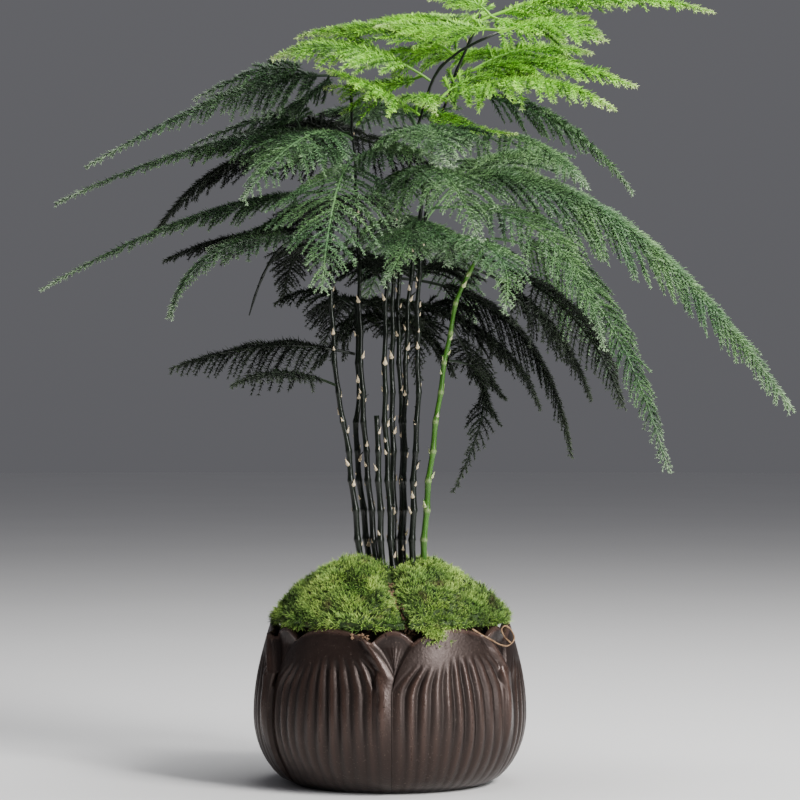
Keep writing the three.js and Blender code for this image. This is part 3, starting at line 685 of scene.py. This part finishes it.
def bowl_relief(place, is_front, share, z):
    """How far the outside stands out of the plain outline, and how much of a crest it is."""
    # Across a front petal w runs from -1 to 1, and across a rear one g from 0 to 1
    w = np.where(is_front, place, 1)
    g = np.where(is_front, 0.5, place)
    fan = w / drawn_in(z)
    bent = fan + 0.012 * np.sin(z * 0.13 + 4 * w)
    rib = np.sqrt(np.sin(np.pi * RIBS * (bent + 1) / 2) ** 2 + RIB_ROUNDING)
    start = RIBS_TOP_Z + 2 * np.sin(5.1 * fan + 1.3) + 4 * smooth((fan - 0.1) / 0.5)
    fade = smooth((start - z) / RIBS_FADE) * smooth((1 - w) / ROLL_WIDTH)
    fade = fade * smooth((1.12 - np.abs(fan)) / 0.4)
    fade = fade * (0.35 + 0.65 * smooth((z - 6) / 30)) * (0.85 + 0.25 * np.sin(7.3 * fan + 0.8))
    roll = np.sin(np.pi * np.clip((w - 1 + ROLL_WIDTH) / ROLL_WIDTH, 0, 1) ** 0.65) * smooth((z - 12) / 30)
    depth = RIB_DEPTH * (0.85 + 0.5 * smooth((fan + 0.2) / 0.8))
    front = EDGE_LIFT * w**3 + depth * (rib - 1) * fade + ROLL_RAISE * roll
    parted = smooth((z - SHOULDER_Z) / 8)
    flare = 1 - smooth((z - FLARE_Z) / (TIP_Z - FLARE_Z))
    recess = PETAL_RAISE * (0.75 + 0.25 * np.abs(2 * g - 1)) * flare
    rear_rib = np.abs(np.sin(np.pi * REAR_RIBS * g)) ** 0.7
    lined = parted * smooth((TIP_Z - 3 - z) / 5) * smooth(4 * g) * smooth(4 * (1 - g))
    rear = -(EDGE_LIFT + (recess - EDGE_LIFT) * parted) + REAR_RIB_DEPTH * (rear_rib - 1) * lined
    rim = smooth((share - 0.965) / 0.03)
    # These crest values pale the ribs, the rolled edge and the rim as painted highlight, and leave grooves
    # and rear petals dark as painted shade
    crest_front = np.maximum(0.8 * rib**2 * fade + 0.4 * (1 - fade) + 0.5 * roll, rim)
    crest_rear = np.maximum(0.15 + 0.35 * rear_rib * lined, 0.9 * rim)
    crest = np.where(is_front, crest_front, crest_rear)
    return smooth(z / 12) * np.where(is_front, front, rear), crest


def make_bowl():
    middle, place, is_front = bowl_columns()
    shoulder = SHOULDER_Z / NOTCH_Z
    shares = np.concatenate([
        np.linspace(0, shoulder, LOW_ROWS, endpoint=False),
        np.linspace(shoulder, 1, HIGH_ROWS),
    ])[:, None]
    place = np.where(is_front, on_front(place, drawn_in(shares * NOTCH_Z)), place)
    rise = np.where(
        is_front,
        1 - np.abs(place[-1]) ** 2.2,
        REAR_TIP * np.sin(np.pi * np.clip(place[-1], 0, 1)) ** 0.8,
    )
    top = NOTCH_Z + (TIP_Z - NOTCH_Z) * rise
    z = shares * top
    left, right = petal_shares(shares * NOTCH_Z)
    on_petal = np.where(place < 0, left, right) * place
    between = right + (2 - left - right) * place
    azimuth = middle + PETAL_HALF_DEG * np.where(is_front, on_petal, between)
    relief, crest = bowl_relief(place, is_front, shares, z)
    radius = bowl_radius(z) + relief
    # The lip is a half round between the outside and the inside
    turns = np.radians(LIP_TURNS_DEG)[:, None]
    lip_r = radius[-1] - LIP / 2 + LIP / 2 * np.cos(turns)
    lip = around(lip_r, azimuth[-1], top + LIP_RISE * np.sin(turns))
    step = 360 / len(middle)
    plain = FIRST_PETAL_DEG - PETAL_HALF_DEG + step * (np.arange(len(middle)) + 0.5)
    inner_r, inner_z = np.array(INNER_WALL).T[:, :, None]
    blend = np.linspace(0.4, 1, len(INNER_WALL))[:, None]
    inside = around(inner_r, azimuth[-1] * (1 - blend) + plain * blend, inner_z)
    rings = np.concatenate([around(radius, azimuth, z), lip, inside])
    # The lip's high crest is a painted highlight along the rim
    shine = np.concatenate([crest, np.full(lip.shape[:2], 0.95), np.full(inside.shape[:2], 0.3)])
    parts = Parts("crest")
    parts.add(*skin(rings, (0, 0, 0), (0, 0, FLOOR_Z)), crest=np.concatenate([shine.ravel(), [0.3, 0.3]]))
    drill_drains(parts.piece("clay_bowl", clay_finish(), ["bowl"]))


def drill_drains(bowl):
    """The drain holes, cut through the floor."""
    cutters = Parts()
    for i in range(DRAIN_HOLES):
        centre = around(DRAIN_RING_R, 90 + i * 360 / DRAIN_HOLES, 0.0)
        rings = np.stack([around(DRAIN_R, np.arange(0, 360, 15), z) + centre for z in DRILL_Z])
        cutters.add(*skin(rings, *(centre + z * UP for z in DRILL_Z)))
    drill = cutters.piece("drill", bowl.data.materials[0])
    modifier = bowl.modifiers.new("drains", "BOOLEAN")
    modifier.object = drill
    modifier.operation = "DIFFERENCE"
    modifier.solver = "MANIFOLD"
    bpy.context.view_layer.update()
    cut = bpy.data.meshes.new_from_object(bowl.evaluated_get(bpy.context.evaluated_depsgraph_get()))
    bowl.modifiers.clear()
    bowl.data = cut
    bpy.data.objects.remove(drill)


# The soil
def seam_wave(r):
    return SEAM_WAVE_DEG * np.sin(r / SEAM_WAVE_R)


def on_heap(out, turn, lift):
    """Points over the heap of soil."""
    heap_r, heap_z = np.array([(0, SOIL_TOP_Z)] + SOIL_HEAP[::-1]).T
    return around(out, turn, np.interp(out, heap_r, heap_z) + lift)


def make_soil(rng):
    """The heap of soil with its crumbs, and the bits of bark on the rim."""
    profile = [(r - SOIL_INSET, max(z, FLOOR_Z + SEAT)) for r, z in INNER_WALL[::-1]] + SOIL_HEAP
    r, z = catmull_rom(profile, np.linspace(0, 1, SOIL_RINGS)).T
    azimuth = np.arange(0, 360, 360 / SOIL_COLUMNS)
    lump = 0.7 * np.sin(azimuth * 0.21) * np.sin(r[:, None] * 0.9)
    lump = lump + rng.normal(0, 0.25, (SOIL_RINGS, SOIL_COLUMNS))
    z = z[:, None]
    rings = around(r[:, None], azimuth, z + lump * (z > LUMPY_Z))
    parts = Parts("bark")
    parts.add(*skin(rings, (0, 0, FLOOR_Z + SEAT), (0, 0, SOIL_TOP_Z)))
    # Crumbs lie in the seams between the cushions of moss and among the canes
    seams = rng.choice(SEAMS_DEG, CRUMBS)
    out = rng.uniform(16, 52, CRUMBS)
    turn = seams + seam_wave(out) + rng.normal(0, 2.2, CRUMBS)
    middle = rng.random(CRUMBS) < CRUMBS_INSIDE
    out[middle] = rng.uniform(2, 21, middle.sum())
    turn[middle] = rng.uniform(0, 360, middle.sum())
    add_crumbs(parts, on_heap(out, turn, 0.5), rng.uniform(0.5, 1.5, CRUMBS), 0.0, rng)
    bits = BARK_PLACE + rng.normal(0, 1, (BARK_BITS, 3)) * [2.2, 0.7, 0.8]
    add_crumbs(parts, bits, rng.uniform(0.8, 1.4, BARK_BITS), 0.6, rng)
    # More lie high in the seam at the front
    out = rng.uniform(30, 51, FRONT_CRUMBS)
    turn = FRONT_SEAM_DEG + seam_wave(out) + rng.normal(0, 2.3, FRONT_CRUMBS)
    high = on_heap(out, turn, rng.uniform(1.5, 4.5, FRONT_CRUMBS))
    add_crumbs(parts, high, rng.uniform(0.6, 1.4, FRONT_CRUMBS), 0.45, rng)
    parts.piece("potting_soil", soil_finish(), ["soil"], flat=True)


def add_crumbs(parts, centres, size, bark, rng):
    """Small angular lumps, each an uneven octahedron."""
    shape = np.array([[1, 0, 0], [0, 1, 0], [-1, 0, 0], [0, -1, 0], [0, 0, 1], [0, 0, -1.0]])
    corners = shape * rng.uniform(0.5, 1.2, (len(centres), 6, 1))
    turn = rng.uniform(0, 2 * np.pi, len(centres))[:, None]
    x, y, z = np.moveaxis(corners, -1, 0)
    lumps = np.stack([swing(x, -y, turn), swing(y, x, turn), z * 0.8], axis=-1)
    points = centres[:, None] + size[:, None, None] * lumps
    top = [[4, 0, 1], [4, 1, 2], [4, 2, 3], [4, 3, 0]]
    under = [[5, 1, 0], [5, 2, 1], [5, 3, 2], [5, 0, 3]]
    parts.add(points, every_copy(np.array(top + under), points), bark=bark)


# The moss
def moss_top(azimuth, end, full):
    """Radii and heights of a cushion's top, at each azimuth."""
    swell = full * np.maximum(0.3, np.sqrt(1 - end**3))
    top = []
    for k, (r, z, below) in enumerate(MOSS_OVER):
        r0, z0 = MOSS_UNDER[below]
        lump = 1 + 0.1 * np.sin(azimuth * 0.16 + k * 1.7) + 0.07 * np.sin(azimuth * 0.31 - k * 2.3)
        top.append((r0 + (r - r0) * swell, z0 + np.maximum(MOSS_LEAST, (z - z0) * swell * lump)))
    return np.moveaxis(np.array(top), 1, 2)


def make_moss(name, rng):
    """A cushion of moss: its dark body and the tufts of pointed leaves all over its top."""
    first, last, full = MOSS[name]
    azimuth = np.linspace(first, last, MOSS_COLUMNS)
    end = np.abs(np.linspace(-1, 1, MOSS_COLUMNS))
    top = moss_top(azimuth, end, full)
    under = np.repeat(np.array(MOSS_UNDER)[:, None], MOSS_COLUMNS, axis=1)
    v = np.linspace(0, 1, MOSS_ROWS)
    r, z = catmull_rom(np.concatenate([under[-1:], top, under[:1]]), v).T
    turn = azimuth[:, None] + seam_wave(r)
    z = z + 0.5 * np.sin(turn * 1.9 + r) * np.sin(r * 0.8 - turn * 0.7) * (v > 0.03) * (v < 0.97)
    surface = around(r, turn, z)
    floor_r, floor_z = np.array(MOSS_UNDER[1:-1]).T
    floor = around(floor_r, azimuth[:, None] + seam_wave(floor_r), floor_z)
    rings = np.concatenate([surface, floor], axis=1)[:, ::-1]
    parts = Parts("tip", "tint")
    # The dark body under the tufts: partly the moss's own dark under-layer, partly painted shade between
    # the tufts
    parts.add(*skin(rings, rings[0].mean(0), rings[-1].mean(0)), tip=0.12, tint=0.3)
    # Tufts at even steps of area along the rows of the surface
    along_u, along_v = np.gradient(surface, axis=0), np.gradient(surface, axis=1)
    normal = np.cross(along_u, along_v)
    normal *= np.where(normal[..., 2:] + 0.2 * (normal * surface).sum(-1, keepdims=True) < 0, -1, 1)
    area = np.linalg.norm(normal, axis=-1)
    total = np.cumsum(area.ravel())
    count = int(total[-1] / MOSS_TUFT_AREA)
    pick = np.searchsorted(total, (np.arange(count) + rng.random(count)) * total[-1] / count)
    pick = np.minimum(pick, area.size - 1)
    centre = surface.reshape(-1, 3)[pick] + rng.normal(0, 0.5, (count, 3))
    out = unit(normal.reshape(-1, 3)[pick])
    # Leaves are combed one way over a few millimetres, and are short and dark towards the seams
    x, y, z = centre.T
    comb = np.stack([np.sin(0.17 * x + 0.11 * z), np.cos(0.15 * y - 0.1 * x), np.sin(0.2 * z + 0.1 * x)])
    out = unit(out + 0.5 * comb.T)
    edge = smooth((end[pick // MOSS_ROWS] - 0.9) / 0.1)
    clump = np.sin(0.33 * x + 1) * np.cos(0.29 * z)
    tint = 0.52 + 0.28 * clump - 0.35 * edge - 0.22 * smooth((np.abs(x) - 26) / 22)
    tint = varied(tint, 0.2, rng)
    size = rng.uniform(0.7, 1.15, count) * (1 - 0.62 * edge) * (1 + 0.15 * clump)
    add_tufts(parts, centre, out, size, tint, rng)
    if name == "moss_front_right":
        n = SPILL_TUFTS
        spill = SPILL_PLACE + rng.normal(0, 1, (n, 3)) * [3.0, 0.7, 2.2]
        down = unit(np.array([0.1, -1.0, -0.3]) + rng.normal(0, 0.3, (n, 3)))
        add_tufts(parts, spill, down, rng.uniform(0.7, 1.0, n), rng.uniform(0.4, 0.8, n), rng)
    parts.piece(name + "_leaves", moss_finish(), [name], flat=True)


def add_tufts(parts, centre, out, size, tint, rng):
    """A tuft at each centre: pairs of thin leaves that spring from one point and part."""
    count = len(centre)
    helper = np.where(np.abs(out[:, 2:]) < 0.9, UP, np.array([1.0, 0.0, 0.0]))
    across = unit(np.cross(out, helper))
    other = np.cross(out, across)
    for k in range(MOSS_PAIRS):
        turn = (k * np.pi / MOSS_PAIRS + rng.uniform(-0.5, 0.5, count) + np.arange(count))[:, None]
        leaves = leaning_pairs(
            centre - out * 0.3, out, swing(across, other, turn), lambda: rng.uniform(*MOSS_LEAN_DEG, count),
            MOSS_LEAF * size, MOSS_LEAF_HALF, rng,
        )
        own = np.repeat(varied(tint, 0.1, rng), 5)
        # Leaf bases are near black and tips fresh green; the dark bases are partly painted shade
        parts.add(*leaves, tip=np.tile([0.1, 0.0, 0.0, 1.0, 1.0], count), tint=own)


# The canes
def cane_at(cane, z):
    """A cane's centre line at heights z: upright in the soil, then along its curve."""
    x, y, height = catmull_rom(CANES[cane], np.linspace(0, 1, 800)).T
    return np.stack([np.interp(z, height, x), np.interp(z, height, y), z], axis=-1)


def cane_radius(z):
    return CANE_R + (CANE_TIP_R - CANE_R) * np.clip((z - SOIL_TOP_Z) / CANE_TAPER, 0, 1)


def cane_direction(cane, z):
    return unit(cane_at(cane, z + 1) - cane_at(cane, z - 1))


def make_cane(cane, rng):
    """A cane with swollen joints and pale papery scales."""
    top = CANES[cane][-1][2]
    joints = np.arange(SOIL_TOP_Z + 4, top - JOINT_STEP / 2, JOINT_STEP)
    z = np.unique(np.concatenate([
        np.arange(CANE_SINK_Z, top, 4.0), [top], *(joints + d for d in (-1.3, -0.4, 0.4, 1.3)),
    ]))
    swell = sum(np.exp(-(((z - joint) / 1.5) ** 2)) for joint in joints)
    radius = cane_radius(z) * (0.96 + (JOINT_SWELL - 0.96) * np.clip(swell, 0, 1))
    path = cane_at(cane, z)
    path[:, 0] += ZIGZAG * np.interp(z, joints, np.resize([1.0, -1.0], joints.size)) * (z > joints[0])
    stem = tubes(path[None], radius[None], CANE_SIDES, np.array([[0.0, 1.0, 0.0]]))
    parts = Parts("pale")
    band = 0.35 if cane == GREEN_CANE else 0.0
    pale = np.repeat(band * np.clip(swell, 0, 1) ** 3, CANE_SIDES)
    parts.add(*stem, pale=np.concatenate([pale, [0, 0]]))
    turn = rng.uniform(0, 360)
    half = joints + JOINT_STEP / 2
    half = half[(half < SCALES_TOP_Z) & (rng.random(half.size) < MORE_SCALES)]
    for joint in np.concatenate([joints[joints < top - 12], half]):
        turn += SCALE_TURN_DEG + rng.uniform(-25, 25)
        size = rng.uniform(0.65, 1.3) * (1 if joint < SCALES_TOP_Z else 0.55)
        place = joint + rng.uniform(-3, 3)
        add_scale(parts, cane, place, turn, size)
        if rng.random() < PRONGS and place < SCALES_TOP_Z:
            add_prong(parts, cane, place + 1, turn, rng.uniform(2.5, 5))
    slot = "cane_green" if cane == GREEN_CANE else "cane_dark"
    parts.piece(f"cane_{cane}_stem", cane_finish(slot), [f"cane_{cane}"])


def add_scale(parts, cane, z, turn, size):
    """A papery scale that hugs the cane and rises to a point."""
    along = cane_direction(cane, z)
    out = around(1.0, turn, 0.0)
    out = unit(out - along * (out @ along))
    across = np.cross(along, out)
    base = cane_at(cane, z) + out * (0.75 * cane_radius(z))
    angles = np.arange(8) * np.pi / 4
    rings = []
    for rise, wide, deep, lean in SCALE_RINGS:
        oval = across * (wide * np.cos(angles))[:, None] + out * (deep * np.sin(angles))[:, None]
        rings.append(base + size * (rise * along + lean * out) + size * oval)
    tip = base + size * (2.7 * along + 1.2 * out)
    parts.add(*skin(np.array(rings), base - size * 0.9 * along, tip), pale=1.0)


def add_prong(parts, cane, z, turn, length):
    """A short dark stub of a branch, over a scale."""
    along = cane_direction(cane, z)
    steps = np.linspace(0, length, 4)[:, None]
    path = cane_at(cane, z) + steps * (0.75 * around(1.0, turn, 0.0) + 0.65 * along)
    radius = np.linspace(0.5, 0.25, 4)
    parts.add(*tubes(path[None], radius[None], 6, along[None]), pale=0.0)


# The sprays
def curve_through(start, mid, tip):
    """The three controls of a curve from start through mid to tip."""
    return start, 2 * np.array(mid) - (start + tip) / 2, np.array(tip)


def midrib(cane, at, mid, tip):
    """The controls of a spray's midrib, which starts just clear of its cane."""
    root = cane_at(cane, at)
    leave = unit(curve_through(root, mid, tip)[1] - root)
    slant = max(0.6, np.linalg.norm(np.cross(leave, cane_direction(cane, at))))
    return curve_through(root + leave * (cane_radius(at) * JOINT_SWELL + SEAT) / slant, mid, tip)


def along_midrib(controls, t, roll):
    """Points of a midrib at t, and the ways forward, to its right and out of its face."""
    start, bend, tip = controls
    t = np.asarray(t, float)[:, None]
    point = (1 - t) ** 2 * start + 2 * t * (1 - t) * bend + t**2 * tip
    forward = unit((1 - t) * (bend - start) + t * (tip - bend))
    side = unit(np.cross(forward, UP))
    side = swing(side, np.cross(forward, side), np.radians(roll))
    return point, forward, side, np.cross(side, forward)


def make_spray(name, rng):
    """A spray with its shoots, or a bare twig with the stubs of its side sprays."""
    cane, at, mid, tip, wide, droop, roll, tone = SPRAYS[name]
    controls = midrib(cane, at, mid, tip)
    parts = Parts("tip", "tint", "young")
    # The spray's painted light, or painted shade below zero, moves the centre of its needles' tint
    pale = PAINTED_LIGHT_AND_SHADE.get(name, 0.0)
    habit = HABITS.get(name, PLAIN_HABIT[:3] + OPEN_SPRAYS.get(name, PLAIN_HABIT[3:]))
    if wide > 0:
        add_frond(parts, controls, wide, droop, roll, pale, habit, rng)
    else:
        add_bare_twig(parts, controls, rng)
    for leaves_at, mid, tip, wide, droop, roll in SHOOTS.get(name, []):
        start = along_midrib(controls, [leaves_at], 0)[0][0]
        add_frond(parts, curve_through(start, mid, tip), wide, droop, roll, pale, PLAIN_HABIT, rng)
    parts.piece(f"spray_{name}_needles", frond_finish(tone), [f"spray_{name}"], flat=True)


def add_frond(parts, controls, wide, droop, roll, pale, habit, rng):
    """A flat frond: a thin midrib, side sprays on both edges and clusters of needles on both."""
    longest, hang, taper, step, needle = habit
    droop = droop * hang
    t = np.linspace(0, 1, 31)
    rib, forward, side, face = along_midrib(controls, t, roll)
    length = np.linalg.norm(np.diff(rib, axis=0), axis=1).sum()
    radius = MIDRIB_R * (1 - t) ** 0.6 + MIDRIB_TIP_R
    # The midrib and its side sprays take colours partway along the needles' ramp of painted shade and
    # highlight
    parts.add(*tubes(rib[None], radius[None], 6, face[:1]), tip=0.6, tint=0.5 + pale)
    leafy = LEAFY_END - BARE_SHARE
    pairs = max(5, round(length * leafy / step))
    hand = np.repeat([1.0, -1.0], pairs)
    share = (np.tile(np.arange(pairs), 2) + np.repeat(SIDE_OFFSETS, pairs)) / pairs
    share = varied(share, 0.12 / pairs, rng)
    reach = longest * wide * (0.5 + 0.5 * smooth(share / 0.18)) * (0.08 + 0.92 * (1 - share) ** taper)
    reach = np.maximum(reach * rng.uniform(0.72, 1.08, share.size), SIDE_LEAST)
    root, forward, side, face = along_midrib(controls, BARE_SHARE + leafy * share, roll)
    angle = np.radians(SIDE_DEG - SIDE_CLOSING_DEG * share + rng.normal(0, 4.5, share.size))[:, None]
    out = hand[:, None] * side
    way = swing(forward, out, angle)
    wave = rng.normal(0, 0.08, share.size)[:, None]

    def twig_at(which, s):
        s = s[:, None]
        far = reach[which][:, None]
        bow = SIDE_BOW * s * (1 - s) * out[which]
        return root[which] + far * (s * way[which] + bow + wave[which] * s**2 * face[which]
                                    - droop * s**2 * UP)

    steps = np.linspace(0, 1, 4)
    every = np.repeat(np.arange(share.size), steps.size)
    paths = twig_at(every, np.tile(steps, share.size)).reshape(share.size, steps.size, 3)
    thin = (TWIG_TIP_R + (TWIG_R - TWIG_TIP_R) * (1 - steps)) * np.ones((share.size, 1))
    # Each side spray's tint varies at random about a centre moved by the spray's painted light and shade
    tint = np.clip(rng.normal(0.5 + pale, 0.22, share.size), 0, 1)
    points, faces = tubes(paths, thin, 3, face)
    parts.add(points, faces, tip=0.45, tint=np.repeat(tint, points.shape[1]))
    # Clusters of needles along every side spray, and along the leafy midrib itself
    count = np.maximum(2, np.round(reach / CLUSTER_STEP)).astype(int)
    which = np.repeat(np.arange(share.size), count)
    order = np.arange(which.size) - np.repeat(np.cumsum(count) - count, count)
    s = (order + rng.uniform(0.3, 0.9, which.size)) / count[which]
    base = twig_at(which, s)
    tangent = unit(twig_at(which, s + 0.02) - twig_at(which, s - 0.02))
    left = (1 - s) * reach[which]
    young = np.clip(share[which] * 2.5 - 2, 0, 1) + smooth(1 - left / 6) * 0.6
    add_clusters(parts, base, tangent, face[which], left, needle, tint[which], young, rng)
    t = np.linspace(BARE_SHARE + 0.02, 0.995, max(8, round(length * leafy / CLUSTER_STEP)))
    base, forward, side, face = along_midrib(controls, t, roll)
    add_clusters(parts, base, forward, face, (1 - t) * length, needle, np.full(t.size, 0.5 + pale),
                 smooth(t * 4 - 3), rng)


def add_clusters(parts, base, tangent, face, left, needle, tint, young, rng):
    """A cluster of needles at each base, mostly in the spray's plane, shorter near a tip."""
    across = unit(np.cross(face, tangent))
    above = np.cross(tangent, across)
    count = len(base)
    length = needle * NEEDLE * np.clip(0.5 + left / 14, 0.5, 1)
    # Needle bases take the deep colour and tips the light one: painted shade among the clusters and painted
    # highlight at the tips
    tip = np.tile([0.15, 0.0, 0.0, 1.0, 1.0], count)
    young = np.repeat(np.clip(young, 0, 1) ** 2, 5) * (0.3 + 0.7 * tip)
    for turn, lean in CLUSTER_DEG:
        turn = np.radians(turn + rng.normal(0, 20, count))[:, None]
        needles = leaning_pairs(
            base, tangent, swing(across, above, turn), lambda: lean + rng.normal(0, 12, count),
            length, NEEDLE_HALF, rng,
        )
        own = varied(np.repeat(varied(tint, 0.22, rng), 5), 0.15, rng)
        parts.add(*needles, tip=tip, tint=own, young=young)


def add_bare_twig(parts, controls, rng):
    """A twig that has lost its leaves, with the stubs of its side sprays."""
    t = np.linspace(0, 1, 41)
    rib, forward, side, face = along_midrib(controls, t, 0)
    radius = 0.75 * (1 - t) ** 0.5 + 0.3 + 0.08 * np.sin(t * 50)
    parts.add(*tubes(rib[None], radius[None], 6, face[:1]), tip=0.2, tint=0.3)
    picked = np.arange(4, 40, 2)
    stub = side[picked] * rng.uniform(1.5, 3.6, picked.size)[:, None] + [0, 0, 0.8]
    stubs = needle_pairs(rib[picked], forward[picked], side[picked], stub, stub * [-1, -1, 1], 0.45)
    parts.add(*stubs, tip=0.2, tint=0.3)


# The loose root
def make_root():
    """The dry root."""
    path = catmull_rom(ROOT_LOOP, np.linspace(0, 1, 90))
    parts = Parts("bark")
    thick = 0.36 + 0.08 * np.sin(np.linspace(0, 40, 90))
    parts.add(*tubes(path[None], thick[None], 8, np.array([[0.1, 0.2, 1.0]])), bark=0.9)
    made = Finish("root", 0.7, 0.3)
    made.colour(made.ramp(made.noise(1.5, 4), (0.3, (0.11, 0.06, 0.03)), (0.7, (0.36, 0.23, 0.13))))
    made.bump(made.noise(0.6, 3), 0.1)
    parts.piece("rim_root", made.material)


# The studio
def make_floor():
    mesh = bpy.data.meshes.new("floor")
    rim = around(FLOOR_R, np.arange(0, 360, 5.0), -0.05) * MM
    mesh.from_pydata(rim.tolist(), [], [list(range(len(rim)))])
    made = Finish("floor", 0.85, 0.15)
    made.colour(made.ramp(made.noise(300, 2), (0.3, FLOOR_COLOUR - 0.01), (0.7, FLOOR_COLOUR + 0.01)))
    mesh.materials.append(made.material)
    floor = new_object("floor", mesh)


def add_light(name, place, aim, size, power, colour):
    light = bpy.data.lights.new(name, "AREA")
    light.shape = "RECTANGLE"
    light.size, light.size_y = size
    light.energy = power
    light.color = colour
    lamp = new_object(name, light)
    lamp.location = place
    lamp.rotation_euler = (Vector(aim) - Vector(place)).to_track_quat("-Z", "Y").to_euler()


def make_studio():
    make_floor()
    for name, spec in LAMPS.items():
        add_light(name, *spec)
    bpy.context.scene.world = make_sky()


def make_sky():
    """Soft light all round, as dim at the horizon as the far floor, so that no line shows there."""
    world = bpy.data.worlds.new("studio")
    made = Nodes(world, "Background")
    place = made.node("TexCoord").outputs["Generated"]
    height = made.node("SeparateXYZ", Vector=place).outputs["Z"]
    light = made.ramp(height, (0.0, HORIZON), (1.0, tuple(c * ZENITH for c in HORIZON)))
    made.feed(made.fed["Color"], light)
    return world


def make_camera():
    """Level with the middle of the photograph, as far away as its perspective shows."""
    camera = bpy.data.cameras.new("camera")
    camera.sensor_width = SENSOR
    camera.lens = SENSOR * CAMERA_AWAY / (FRAME_PX * MM_PER_PX)
    made = new_object("camera", camera)
    aside = (FRAME_PX / 2 - AXIS_PX) * MM_PER_PX
    level = (FOOT_PX - FRAME_PX / 2) * MM_PER_PX
    made.location = (aside * MM, -CAMERA_AWAY * MM, level * MM)
    made.rotation_euler = (np.pi / 2, 0, 0)
    bpy.context.scene.camera = made


def make_plant():
    rng = np.random.default_rng(SEED)
    make_bowl()
    make_soil(rng)
    for name in MOSS:
        make_moss(name, rng)
    for cane in CANES:
        make_cane(cane, rng)
    for name in SPRAYS:
        make_spray(name, rng)
    make_root()


make_camera()
make_studio()
make_plant()
